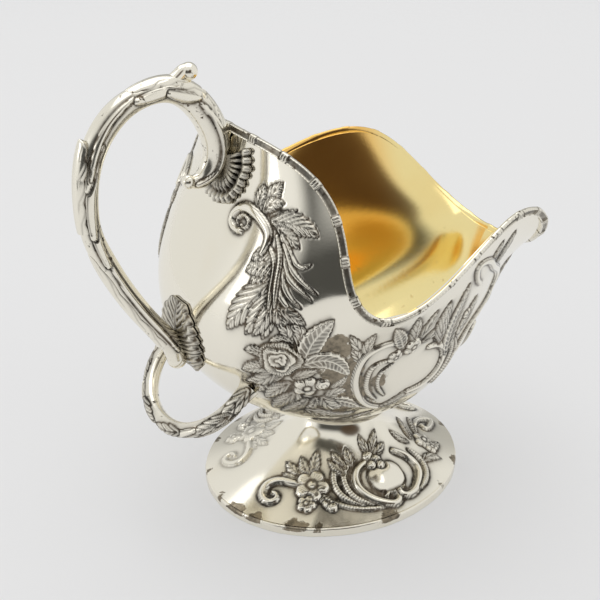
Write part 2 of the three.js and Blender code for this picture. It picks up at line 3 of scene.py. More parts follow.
import bmesh
import bpy
import numpy as np
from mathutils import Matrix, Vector


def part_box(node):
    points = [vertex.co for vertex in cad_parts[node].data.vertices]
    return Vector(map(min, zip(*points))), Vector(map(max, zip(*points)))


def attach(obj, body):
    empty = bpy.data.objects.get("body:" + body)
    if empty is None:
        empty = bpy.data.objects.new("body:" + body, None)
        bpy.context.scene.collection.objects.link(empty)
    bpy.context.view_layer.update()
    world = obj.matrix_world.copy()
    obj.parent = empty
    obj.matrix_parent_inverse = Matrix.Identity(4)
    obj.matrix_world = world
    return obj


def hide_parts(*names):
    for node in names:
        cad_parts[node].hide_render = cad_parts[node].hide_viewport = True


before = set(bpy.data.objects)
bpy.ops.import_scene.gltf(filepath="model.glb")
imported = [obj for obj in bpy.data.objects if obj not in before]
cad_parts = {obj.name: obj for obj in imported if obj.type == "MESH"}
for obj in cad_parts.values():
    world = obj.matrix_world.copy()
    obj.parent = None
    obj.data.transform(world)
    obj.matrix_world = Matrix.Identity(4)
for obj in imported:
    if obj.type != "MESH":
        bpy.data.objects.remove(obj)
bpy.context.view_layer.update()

# Every size below is in millimetres from the middle of the foot, as in the part's source, and goes
# to metres and to the frame's origin when a mesh is made.
MM = 0.001
NEAR, FAR = -1, 1
TURN = 2 * math.pi

# Bowl: horizontal sections as height, back, front and half width, from the lowest upwards
BOWL_FLOOR = 26.5
BOWL_CAP_DEPTH = 4.2
BOWL_SECTIONS = [
    (0, 15, 19, 17),
    (12.5, 35.5, 37, 31.5),
    (29.5, 50.5, 54, 38),
    (50.5, 52.5, 60, 45),
    (73.5, 41.5, 71.5, 50),
    (96.5, 35.5, 70, 54.5),
]
WIDEST_X = [5.5, -9, 20.5]
BOWL_SHEET = 1.0
RIM_ANGLES = [0, 25, 50, 75, 100, 125, 150, 180]
RIM_RISES = [43.5, 49.4, 68.6, 65, 54, 73.3, 91.5, 97.6]
FLARE_ANGLES = [0, 30, 60, 90, 120, 150, 180]
LIP_FLARES = [4, 8.5, 0, 4, -1, -1, 0]
FLARE_HEIGHT = 7.3
BOWL_HALF = 54.5
PANEL_SEAM = 0.5
# Grids of the bowl: rows of the dish and of the wall, columns of the front and back parts, columns past
# each end that keep the relief whole at a seam, and the lining's columns and rows
SKIN_ROWS = (16, 320)
FRONT_COLUMNS = 250
BACK_COLUMNS = 270
SEAM_MARGIN = 16
LINING_GRID = (60, 5, 40)
# Rim border: half its width, how far it stands out and in, how deep the sheet goes into it, and the
# flattest slant of the rim that this is reckoned with
BORDER_HALF = 1.15
BORDER_PROUD = 1.0
BORDER_LINING = 0.6
SHEET_IN_BORDER = 0.25
FLATTEST_SLANT = 0.25
# Its ribbons, the cords in them and the beads on the reeds: distances, lengths and heights
RIBBON_PITCH = 11
RIBBON_LENGTH = 2.6
RIBBON_FADE = 0.12
RIBBON_EDGE = 0.25
RIBBON_SWELL = 0.12
RIBBON_CORDS = 0.85
CORD_HEIGHT = 0.16
CHANNEL_DEPTH = 0.42
REED_BEADS = 1.1
BEAD_HEIGHT = 0.10
BEAD_RIPPLE = 0.06
BORDER_STEPS = 1300
BORDER_SAMPLES = 2000
# Section of the border from its inside edge over the outside: places across and out, then how far the
# edge beads and the channel between them count there
BORDER_FACE = [
    (-0.85, -0.6, 0, 0), (-1, -0.1, 0, 0), (-1.02, 0.35, 0, 0), (-0.98, 0.65, 0.4, 0), (-0.9, 0.85, 0.9, 0),
    (-0.8, 0.93, 1, 0), (-0.7, 0.95, 0.6, 0.1), (-0.6, 0.96, 0, 0.8), (-0.45, 1, 0, 1), (-0.2, 1.04, 0, 1),
    (0, 1.05, 0, 1), (0.2, 1.04, 0, 1), (0.45, 1, 0, 1), (0.6, 0.94, 0, 0.8), (0.7, 0.88, 0.6, 0.1),
    (0.8, 0.8, 1, 0), (0.92, 0.6, 0.8, 0), (1, 0.3, 0, 0), (1.02, 0, 0, 0), (0.97, -0.45, 0, 0),
    (0.8, -0.8, 0, 0), (0.5, -0.97, 0, 0), (0, -1, 0, 0), (-0.5, -0.9, 0, 0),
]

# Foot: its band, cone and collar
FOOT_LENGTH = 86
FOOT_WIDTH = 75.6
FOOT_SHEET = 1.0
BAND_HEIGHT = 3.2
BAND_EDGE = 0.4
BAND_UNEVEN = 0.05
FOOT_FLARE = 2.0
NECK_SHARE = 0.75
SOLDER_GAP = 0.3
COLLAR_WIDTH = 2.2
COLLAR_DROP = 2.6
COLLAR_DARKNESS = 0.25
COLLAR_SECTION = [
    (0, 0), (0.5, 0), (1, 0), (0.98, 0.2), (0.9, 0.45), (0.72, 0.68), (0.5, 0.85), (0.3, 0.94), (0.12, 1),
    (0.04, 0.5),
]
BAND_SECTION = [
    (1.6, 0), (0.5, 0), (0.15, 0.15), (0, 0.5), (0.02, 1.2), (0, 1.9), (0.04, 2.5), (0.3, 3.0), (0.8, 3.2),
    (1.6, 3.2),
]
# The foot's chasing is rubbed flatter and paler round this angle, by these shares
RUBBED_PLACE = 146
RUBBED_WIDTH = 30
RUBBED_FLAT = 0.35
RUBBED_PALE = 0.6
# Grids of the foot: rows round the cone and the band, columns up the cone outside, how many of them one
# column inside takes up, the usual distance between corners, and rows round the collar
FOOT_ROWS = 640
CONE_COLUMNS = 104
CONE_INNER_STEP = 8
FOOT_SPACING = 0.36
COLLAR_ROWS = 200
# Worn places of the foot's edge: how far up the plating is chipped, then the angle from the lip's side,
# the width in degrees and the strength
CHIP_REACH = 3.7
WORN_PLACES = [
    (158, 3, 0.6), (180, 4, 0.65), (193, 9, 0.80), (203, 7, 0.85), (223, 8, 0.78), (233, 5, 0.6),
    (266, 10, 0.72), (298, 4, 0.5), (319, 5, 0.78), (350, 4, 0.6), (30, 6, 0.7), (75, 9, 0.75), (112, 4, 0.6),
    (131, 6, 0.7),
]

# Handle: stations from the lower joint up and over, as the share of the height between the joints, the
# reach behind the line through them and the thickness. The upper joint is behind the shell.
LOWER_JOINT = 65.25
HANDLE_REACH = 42
HANDLE_THICK = 7.6
HANDLE_BREADTH = 0.95
HANDLE_LINE = [
    (-0.157, -0.023, 0.74), (-0.062, 0.043, 0.82), (0.08, 0.201, 0.74), (0.222, 0.37, 0.74),
    (0.413, 0.575, 0.76), (0.6, 0.753, 0.79), (0.766, 0.882, 0.76), (0.929, 0.957, 0.79),
    (1.091, 0.996, 0.84), (1.25, 0.984, 0.89), (1.396, 0.883, 0.89), (1.459, 0.71, 0.84),
    (1.453, 0.546, 0.89), (1.38, 0.382, 0.97), (1.25, 0.222, 1), (1.104, 0.115, 0.97),
    (0.982, 0.101, 0.84), (0.917, 0.161, 0.63), (0.921, 0.244, 0.42),
]
SCROLL_LINE = [
    (1.475, 0.659, 0.45), (1.495, 0.572, 0.47), (1.532, 0.515, 0.45), (1.55, 0.484, 0.42),
    (1.538, 0.45, 0.39),
]
LOWER_BALL = 2.9
UPPER_BALL = 2.0
SCROLL_BALL = 2.4
# Grids of the bars, along and round them, and of each leaf, along and across
HANDLE_GRID = (560, 72)
SCROLL_GRID = (80, 40)
RING_GRID = (420, 64)
LEAF_GRID = (100, 50)
BALL_GRID = (40, 24)
BAR_SPACING = 0.3
BAR_STEP = 0.002
# Two ridges along the limb above this share: how far round from its outside, in radians, their width as
# a change of the cosine, and their height
LIMB_FROM = 0.56
RIDGE_ANGLE = 1.25
RIDGE_WIDTH = 0.012
RIDGE_HEIGHT = 0.35
LEAF_THICK = 0.75
LEAF_LIFT = 1.2
LEAF_TEETH = 4
LEAF_TOOTH_DEPTH = 0.16
LEAF_TAPER = 7
LEAF_RIB_SHARE = 0.75
# Leaves over the outside of the bow: from, to, half width in degrees and lift of the point
HANDLE_LEAVES = [(0.08, 0.3, 62, 0.0), (0.34, 0.497, 62, 0.8), (0.72, 0.58, 70, 0.0), (0.73, 0.87, 66, 0.0)]

# Shell mount under the handle's upper end, with the share out at which its pleats begin, and those of the
# trench and the bead that run round it
SHELL_DROP = 9.4
SHELL_RADIUS = 11.7
SHELL_LOBES = 21
SHELL_SWEEP = 246
SHELL_THICK = 0.55
SHELL_RELIEF = 1.5
SHELL_PLEATS_FROM = 0.40
SHELL_TRENCH = 0.70
SHELL_TRENCH_DEPTH = 0.75
SHELL_BEAD = 0.88
SHELL_BEAD_HEIGHT = 0.35
SHELL_GRID = (26, 45)
# Leaf mount under the handle's lower end
LEAF_MOUNT_HEIGHT = 22
LEAF_MOUNT_FOOT = 54
LEAF_MOUNT_HALF = 10.6
LEAF_MOUNT_THICK = 0.8
LEAF_MOUNT_RELIEF = 1.1
LEAF_MOUNT_TEETH = 7
LEAF_MOUNT_VEINS = 14
LEAF_MOUNT_GRID = (180, 90)
# Scoop ring: where it is soldered on, and its stations as reach down and back and share of the half width
RING_ANGLE = 145.5
RING_HEIGHT = 54.5
RING_SINK = 0.6
RING_DEPTH = 24
RING_TILT = 42.8
RING_STATIONS = [(0, 1), (0.528, 0.895), (0.882, 0.533), (1, 0)]
RING_THICK = 4.6
RING_END_SPREAD = 8


# Curves and surfaces

STEP = 0.01
RIM_STEP = 0.005


def spline(xs, ys):
    """Natural cubic curve through the given values, which takes a whole array of places."""
    xs, ys = np.array(xs, float), np.array(ys, float)
    last = len(xs) - 1
    step = np.diff(xs)
    system, right = np.eye(last + 1), np.zeros(last + 1)
    for i in range(1, last):
        system[i, i - 1:i + 2] = step[i - 1], 2 * (step[i - 1] + step[i]), step[i]
        right[i] = 6 * ((ys[i + 1] - ys[i]) / step[i] - (ys[i] - ys[i - 1]) / step[i - 1])
    bend = np.linalg.solve(system, right)

    def at(x):
        x = np.asarray(x, float)
        k = np.clip(np.searchsorted(xs, x, side="left") - 1, 0, last - 1)
        a, b = (xs[k + 1] - x) / step[k], (x - xs[k]) / step[k]
        cubic = (a ** 3 - a) * bend[k] + (b ** 3 - b) * bend[k + 1]
        return a * ys[k] + b * ys[k + 1] + cubic * step[k] ** 2 / 6
    return at


def two_sided(angles, values):
    """Curve of the angle from the lip that is the same on both sides of the bowl."""
    xs = [-angles[2], -angles[1], *angles, 360 - angles[-2], 360 - angles[-3]]
    ys = [values[2], values[1], *values, values[-2], values[-3]]
    curve = spline(np.radians(xs), ys)
    return lambda u: curve(np.abs(u))


def distance_along(line):
    """Distance travelled at each point of a line, from its start."""
    return np.concatenate([[0], np.cumsum(np.linalg.norm(np.diff(line, axis=0), axis=1))])


def bell(away, width):
    """1 in the middle, falling off softly over the given width."""
    return np.exp(-(away / width) ** 2)


def wave(turned):
    """Wave between 0 and 1, highest after each whole turn."""
    return 0.5 + 0.5 * np.cos(turned)


heights = [BOWL_FLOOR + section[0] for section in BOWL_SECTIONS]
back_at = spline(heights, [-section[1] for section in BOWL_SECTIONS])
front_at = spline(heights, [section[2] for section in BOWL_SECTIONS])
half_at = spline(heights, [section[3] for section in BOWL_SECTIONS])
widest_at = spline([heights[0], (heights[0] + heights[-1]) / 2, heights[-1]], WIDEST_X)
rim_rise = two_sided(RIM_ANGLES, RIM_RISES)
lip_flare = two_sided(FLARE_ANGLES, LIP_FLARES)
bowl_bottom = BOWL_FLOOR - BOWL_CAP_DEPTH
bottom_x = (BOWL_SECTIONS[0][2] - BOWL_SECTIONS[0][1]) / 2


def rim_height(u):
    return BOWL_FLOOR + rim_rise(u)


def wall_point(u, z):
    """Outside of the bowl at the angle u from the lip, negative on the near side, and the height z."""
    u, z = np.broadcast_arrays(np.asarray(u, float), np.asarray(z, float))
    back, front = back_at(z), front_at(z)
    middle = (front + back) / 2
    egg = (middle - widest_at(z)) / 2
    flare = lip_flare(u) * np.exp(-(rim_height(u) - z) / FLARE_HEIGHT)
    x = middle - egg + ((front - back) / 2 + flare) * np.cos(u) + egg * np.cos(2 * u)
    return np.stack([x, (half_at(z) + flare) * np.sin(u), z], -1)


def cap_point(u, share):
    """Shallow dish below the lowest section, from its middle to that section."""
    edge = wall_point(u, BOWL_FLOOR)
    x = bottom_x + (edge[..., 0] - bottom_x) * share
    return np.stack([x, edge[..., 1] * share, bowl_bottom + BOWL_CAP_DEPTH * share ** 2 + 0 * x], -1)


def unit(v):
    return v / np.maximum(np.linalg.norm(v, axis=-1, keepdims=True), 1e-12)


def wall_normal(u, z):
    along = wall_point(u + STEP, z) - wall_point(u - STEP, z)
    up = wall_point(u, z + STEP) - wall_point(u, z - STEP)
    return unit(np.cross(along, up))


def rim_frame(u):
    """The rim's middle line with its tangent, the wall's normal and the direction across the rim."""
    point, behind, ahead = (wall_point(at, rim_height(at)) for at in (u, u - RIM_STEP, u + RIM_STEP))
    tangent = unit(ahead - behind)
    normal = wall_normal(u, rim_height(u))
    return point, tangent, normal, unit(np.cross(normal, tangent))


def sheet_top(u):
    """Height at which the sheet goes into the border."""
    _, tangent, _, _ = rim_frame(u)
    z = rim_height(u)
    up = unit(wall_point(u, z + RIM_STEP) - wall_point(u, z - RIM_STEP))
    slant = np.maximum(np.linalg.norm(np.cross(up, tangent), axis=-1), FLATTEST_SLANT)
    return z - (BORDER_HALF - SHEET_IN_BORDER) / slant * up[..., 2]


SHELL_HEIGHT = rim_height(np.pi) - SHELL_DROP


def handle_stations(line):
    """Stations of the handle as x, z and thickness."""
    rise, reach, thick = np.transpose(line)
    low, high = back_at(LOWER_JOINT), back_at(SHELL_HEIGHT)
    x = low + (high - low) * rise - HANDLE_REACH * reach
    return np.stack([x, LOWER_JOINT + (SHELL_HEIGHT - LOWER_JOINT) * rise, HANDLE_THICK * thick], -1)


HANDLE_STATIONS, SCROLL_STATIONS = handle_stations(HANDLE_LINE), handle_stations(SCROLL_LINE)


# Meshes

MERGED = 2e-6
foot_lo, foot_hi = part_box("foot_edge_band")
FOOT_X = (foot_lo.x + foot_hi.x) / 2 / MM


def in_frame(points):
    return (np.asarray(points, float) + [FOOT_X, 0, 0]) * MM


def lattice(bm, points, marks):
    """Adds a grid of bmesh's own and lays its corners on rows and columns of points, with their marks."""
    rows, columns = points.shape[0] - 1, points.shape[1] - 1
    before = len(bm.verts)
    bmesh.ops.create_grid(bm, x_segments=rows, y_segments=columns, size=0.5)
    placed = in_frame(points)
    floats = bm.verts.layers.float
    layers = {name: floats.get(name) or floats.new(name) for name in marks}
    for vert in list(bm.verts)[before:]:
        i = round((vert.co.x + 0.5) * rows)
        j = round((vert.co.y + 0.5) * columns)
        for name, layer in layers.items():
            vert[layer] = marks[name][i, j]
        vert.co = placed[i, j]


def finished(name, bm, materials, body="root", sharp=70, outwards=True):
    """Turns a bmesh into a piece of the scene."""
    if outwards:
        bmesh.ops.recalc_face_normals(bm, faces=bm.faces)
    for face in bm.faces:
        face.smooth = True
    mesh = bpy.data.meshes.new(name)
    bm.to_mesh(mesh)
    bm.free()
    mesh.set_sharp_from_angle(angle=math.radians(sharp))
    piece = bpy.data.objects.new(name, mesh)
    bpy.context.scene.collection.objects.link(piece)
    for material in materials:
        mesh.materials.append(material)
    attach(piece, body)
    return piece


def lattice_normals(points):
    """Normals of rows and columns of points, of which the rows run round, with the first one upwards."""
    along = np.roll(points, -1, 0) - np.roll(points, 1, 0)
    normals = unit(np.cross(along, np.gradient(points, axis=1)))
    return normals * np.sign(normals[0, 0, 2])


# Raised work: all heights are raised by one share, and ground below the dark height is darker, the more so
# the lower it stands
RELIEF = 1.5
DARK_GROUND = 82
DARK_GROUND_FADE = 14
OUTLINE = 0.6
OUTLINE_DEPTH = 0.07
EASED = 0.15
NEAR_WORK = 2.0
SUNK_WITHIN = 0.8
LEAF_SLANT = 0.45
LEAF_VEIN = 0.2
BLADE_VEIN = 0.22
BLADE_LINES = 1.7
FEATHER_LINES = 0.75
BEADS = 0.9


def smooth_line(anchors, steps=6):
    """Smooth line through anchors in space, with its distance travelled."""
    anchors = np.asarray(anchors, float)
    if len(anchors) == 2:
        line = anchors[0] + (anchors[1] - anchors[0]) * np.linspace(0, 1, steps + 1)[:, None]
    else:
        far = distance_along(anchors)
        at = np.linspace(0, far[-1], steps * (len(anchors) - 1) + 1)
        line = np.stack([spline(far, anchors[:, k])(at) for k in range(3)], -1)
    return line, distance_along(line)


def to_edge(away, width):
    """Share of the way from an element's middle line to its edge."""
    return np.clip(away / np.maximum(width, 1e-3), 0, 1)


def domed(across):
    return np.sqrt(1 - across ** 2)


def pointed(along, start):
    """Outline of a leaf that is widest before its middle and ends in a point."""
    return np.sin(np.pi * np.clip(along * (1 - start) + start, 0, 1) ** 0.75) ** 0.75


# Long elements: each gets the share along its line, the distance from the line, the distance travelled,
# its half width, height and count of lobes, and gives its width, height and darkness

def leaf_form(along, away, travelled, half, tall, lobes):
    """Leaf with slanting teeth, a vein and flutes."""
    tooth = ((along - LEAF_SLANT * away / half) * (lobes + 0.5)) % 1
    teeth = 0.62 + 0.38 * np.sin(np.pi * tooth) ** 0.7
    width = half * pointed(along, 0.05) * teeth * 1.12
    across = to_edge(away, width)
    vein = bell(away, LEAF_VEIN)
    flutes = bell(np.minimum(tooth, 1 - tooth), 0.11) + 0.6 * bell(tooth - 0.45, 0.08)
    flutes = flutes * (across > 0.1)
    raised = tall * (0.35 + 0.65 * domed(across)) * (0.65 + 0.35 * np.sin(np.pi * along) ** 0.5)
    raised = raised * (0.8 + 0.2 * np.sin(np.pi * tooth)) - tall * (0.2 * vein + 0.32 * flutes)
    return width, raised, 0.8 * vein + 0.9 * flutes + 0.5 * across ** 6 + 0.4 * (1 - along) ** 2


def blade_form(along, away, travelled, half, tall, lobes):
    """Broad leaf with bright veins on a dark ground and a rolled edge."""
    teeth = 1 - 0.13 * np.abs(np.sin(TURN * lobes * (along - 0.1 * away / half)))
    width = half * pointed(along, 0.06) * teeth
    across = to_edge(away, width)
    lines = wave(TURN * (travelled - 0.9 * away) / BLADE_LINES) ** 5 * (across > 0.1)
    rolled = bell(across - 0.86, 0.12)
    bright = np.clip(bell(away, BLADE_VEIN) + 0.75 * lines + rolled, 0, 1)
    raised = tall * (0.35 + 0.35 * across + 0.35 * bright) * (1 - 0.6 * across ** 10)
    return width, raised, (0.9 - 0.3 * along) * (1 - bright)


def feather_form(along, away, travelled, half, tall, lobes):
    """Long narrow frond with fine lines along it."""
    width = half * (1 - along) ** 0.7 * (0.45 + 0.55 * np.minimum(1, along * 5))
    across = to_edge(away, width)
    stripes = wave(TURN * away / FEATHER_LINES) ** 2
    raised = tall * (0.35 + 0.65 * domed(across)) - 0.25 * tall * stripes
    return width, raised, 0.9 * stripes * (across < 0.85)


def scroll_form(along, away, travelled, half, tall, lobes):
    """Round bar with a groove near each edge, thinner at its ends."""
    width = half * np.sin(np.pi * (0.12 + 0.80 * along)) ** 0.6
    across = to_edge(away, width)
    lip = bell(across - 0.72, 0.12)
    return width, tall * domed(across) - 0.22 * tall * lip, 0.8 * lip * (along > 0.04)


def ridge_form(along, away, travelled, half, tall, lobes):
    """Thin round bar with beads."""
    width = half * np.minimum(1, 0.35 + np.sin(np.pi * along))
    across = to_edge(away, width)
    beads = wave(TURN * travelled / BEADS) ** 2
    return width, tall * domed(across) * (1 - 0.2 * beads), 0.6 * beads + 0.5 * across ** 4


LONG_FORMS = {
    "leaf": leaf_form,
    "blade": blade_form,
    "feather": feather_form,
    "scroll": scroll_form,
    "ridge": ridge_form,
}


# Round elements: each gets the place east and north of its middle, the share out and the angle round it,
# its radius, height and count of petals, and gives its layer, which ends at 1, its height and darkness

def shield_form(east, north, out, turned, size, tall, petals):
    """Plain cushion with rounded corners and a line at its edge."""
    layer = (np.abs(east / size) ** 2.6 + np.abs(north / (0.8 * size)) ** 2.6) ** (1 / 2.6)
    return layer, tall * (1 - 0.75 * np.clip(layer, 0, 1) ** 3), bell(layer - 0.97, 0.05)


def rose_form(east, north, out, turned, size, tall, petals):
    """Full rose: petals that wind out from the heart, with hatched outer ones."""
    layer = out / (0.93 + 0.05 * np.cos(5 * turned) + 0.02 * np.cos(17 * turned))
    spiral = layer * 3.1 + 0.22 * np.sin(3 * turned + 5 * layer) - turned / TURN
    petal = spiral - np.floor(spiral)
    hatch = wave(46 * turned) ** 2 * (layer > 0.72)
    raised = tall * (1 - 0.65 * (layer - 0.55) ** 2 - 0.35 * (layer < 0.45)) * (0.45 + 0.55 * petal)
    groove = np.clip(bell(petal, 0.45) * 1.1 + 0.75 * hatch, 0, 1) * (layer > 0.1)
    return layer, raised - 0.15 * tall * hatch, groove


def flower_form(east, north, out, turned, size, tall, petals):
    """Open flower with ribbed petals round a raised heart."""
    petal = np.abs(np.cos(petals * turned / 2))
    layer = out / (0.62 + 0.38 * petal ** 0.6)
    heart = out < 0.26
    ribs = wave(6 * petals * turned) ** 2 * (out > 0.3) * (out < 0.75)
    cupped = tall * (0.35 + 0.5 * np.sin(np.pi * np.clip(layer, 0, 1)) ** 0.6)
    raised = np.where(heart, tall * (0.75 + 0.25 * np.cos(out * 6)), cupped)
    split = (1 - petal) ** 6 * (out > 0.2)
    groove = np.clip(split + 0.5 * ribs + 1.1 * bell(out - 0.3, 0.1), 0, 1)
    return layer, raised - tall * 0.12 * ribs * ~heart, groove


def bud_form(east, north, out, turned, size, tall, petals):
    """Round bud with one winding line."""
    spiral = out * 2.2 + turned / TURN
    line = spiral - np.floor(spiral)
    raised = tall * np.sqrt(np.clip(1 - 0.85 * out ** 2, 0, 1)) - 0.12 * tall * (line < 0.2)
    return out, raised, bell(line - 0.1, 0.12) * (out > 0.2)


ROUND_FORMS = {"shield": shield_form, "rose": rose_form, "flower": flower_form, "bud": bud_form}


class Relief:
    """Chased work on a skin: every corner of the skin gets a height and a darkness."""

    def __init__(self, points, normals):
        self.shape = points.shape[:2]
        self.points, self.normals = points.reshape(-1, 3), normals.reshape(-1, 3)
        self.height, self.hollow, self.cover, self.shade = (np.zeros(len(self.points)) for _ in range(4))

    def close_to(self, line, reach):
        low, high = line.min(0) - reach, line.max(0) + reach
        return np.flatnonzero(((self.points > low) & (self.points < high)).all(1))

    def along(self, index, line, far):
        """Distance travelled along the line, and the distance from it."""
        start, leg = line[:-1], np.diff(line, axis=0)
        away = self.points[index][:, None] - start
        share = np.clip((away * leg).sum(-1) / (leg ** 2).sum(-1), 0, 1)
        gap = np.linalg.norm(away - share[..., None] * leg, axis=-1)
        best = gap.argmin(1)
        row = np.arange(len(index))
        return far[best] + share[row, best] * (far[1:] - far[:-1])[best], gap[row, best]

    def lay(self, index, inside, raised, groove, beyond):
        """Lays an element over what is there, with a dark line round it."""
        height, hollow = self.height[index], self.hollow[index]
        ring = np.clip(1.7 * (1 - beyond / OUTLINE), 0, 1) * ~inside
        round_it = height * (1 - 0.5 * ring) - OUTLINE_DEPTH * ring
        self.height[index] = np.where(inside, np.maximum(raised, 0.45 * height), round_it)
        self.hollow[index] = np.where(inside, groove, np.maximum(hollow, ring))
        self.cover[index] = np.maximum(self.cover[index], inside)

    def strip(self, kind, half, tall, lobes, anchors):
        """Long element that follows a line."""
        line, far = smooth_line(anchors)
        index = self.close_to(line, half + 1)
        if not len(index):
            return
        travelled, away = self.along(index, line, far)
        width, raised, groove = LONG_FORMS[kind](travelled / far[-1], away, travelled, half, tall, lobes)
        self.lay(index, away < width, raised, groove, away - width)

    def bloom(self, kind, size, tall, petals, centre):
        """Round element on a centre."""
        index = self.close_to(centre[None], size + 1)
        if not len(index):
            return
        gap = self.points[index] - centre
        normal = self.normals[index[np.linalg.norm(gap, axis=1).argmin()]]
        sideways = unit(np.cross([0.0, 0, 1], normal))
        east, north = gap @ sideways, gap @ np.cross(normal, sideways)
        out, turned = np.hypot(east, north) / size, np.arctan2(north, east)
        layer, raised, groove = ROUND_FORMS[kind](east, north, out, turned, size, tall, petals)
        self.lay(index, layer < 1, raised, groove, (layer - 1) * size)

    def chase(self, work, placed):
        """Lays a list of work, whose lines the given function takes to places on the skin."""
        for kind, size, tall, count, line in work:
            places = placed(*np.transpose(line))
            if kind in ROUND_FORMS:
                self.bloom(kind, size, tall, count, places[0])
            else:
                self.strip(kind, size, tall, count, places)

    def settled(self, spacing, round_rows=False, round_columns=False):
        """Height and darkness with the corners eased and the ground darker near the work, and more so low
        down.
        """
        modes = ["wrap" if round_rows else "edge", "wrap" if round_columns else "edge"]
        height = RELIEF * blurred(self.height.reshape(self.shape), EASED / spacing, modes)
        cover = self.cover.reshape(self.shape)
        near = blurred(cover, NEAR_WORK / spacing, modes)
        ground = np.clip(1.6 * near, 0, 1) * (1 - cover)
        between_work = np.clip(3 * (near - 0.5), 0, 1) * (1 - cover)
        sunk = np.clip((blurred(height, SUNK_WITHIN / spacing, modes) - height) * 4.5, 0, 0.8)
        # Ground near the work is darker below the dark height, the more so the lower it stands
        low = np.clip((DARK_GROUND - self.points[:, 2].reshape(self.shape)) / DARK_GROUND_FADE, 0, 1)
        dark = np.maximum(self.hollow.reshape(self.shape), sunk)
        dark = dark + (0.08 + 0.4 * low) * ground + 0.6 * between_work
        return height, np.clip(dark, 0, 1)

    def ground_darkening(self):
        """How much darker the ground between the work is made, less so on the work itself."""
        return (self.shade * (1 - 0.85 * self.cover)).reshape(self.shape)


def blurred(field, width, modes):
    """Field smoothed by a bell of that many cells."""
    reach = max(1, int(round(3 * width)))
    weights = np.exp(-0.5 * (np.arange(-reach, reach + 1) / max(width, 1e-3)) ** 2)
    weights /= weights.sum()
    for axis in (0, 1):
        padding = [(reach, reach) if k == axis else (0, 0) for k in range(2)]
        padded = np.pad(field, padding, mode=modes[axis])
        count = field.shape[axis]
        field = sum(weight * np.take(padded, range(k, k + count), axis) for k, weight in enumerate(weights))
    return field


# Chased work of the front, which the photo doesn't show: leaves and a flower spray under the lip
FRONT_WORK = [
    ("blade", 2.6, 0.5, 4, [(0, 50), (0, 56), (0, 62.5)]),
    ("leaf", 1.9, 0.45, 4, [(-3, 48), (-9, 53), (-12, 60)]),
    ("leaf", 1.8, 0.42, 4, [(-5, 46), (-14, 48), (-20, 53)]),
    ("leaf", 1.7, 0.42, 3, [(-30, 60), (-25, 65), (-22, 71)]),
    ("leaf", 1.5, 0.42, 3, [(-33, 61), (-33, 67), (-31, 73)]),
    ("leaf", 1.5, 0.42, 3, [(-28, 56), (-22, 58), (-17, 62.5)]),
    ("ridge", 0.7, 0.42, 0, [(-31, 53), (-26, 46), (-16, 41.5), (-6, 41)]),
    ("scroll", 1.2, 0.55, 0, [(-44, 55), (-40, 47), (-30, 41), (-18, 38), (-8, 40), (-5, 43.5), (-9, 45)]),
    ("flower", 2.6, 0.6, 5, [(-30, 57.5)]),
    ("bud", 1.4, 0.6, 0, [(-26, 53.5)]),
    ("flower", 2.2, 0.6, 5, [(0, 46.5)]),
]

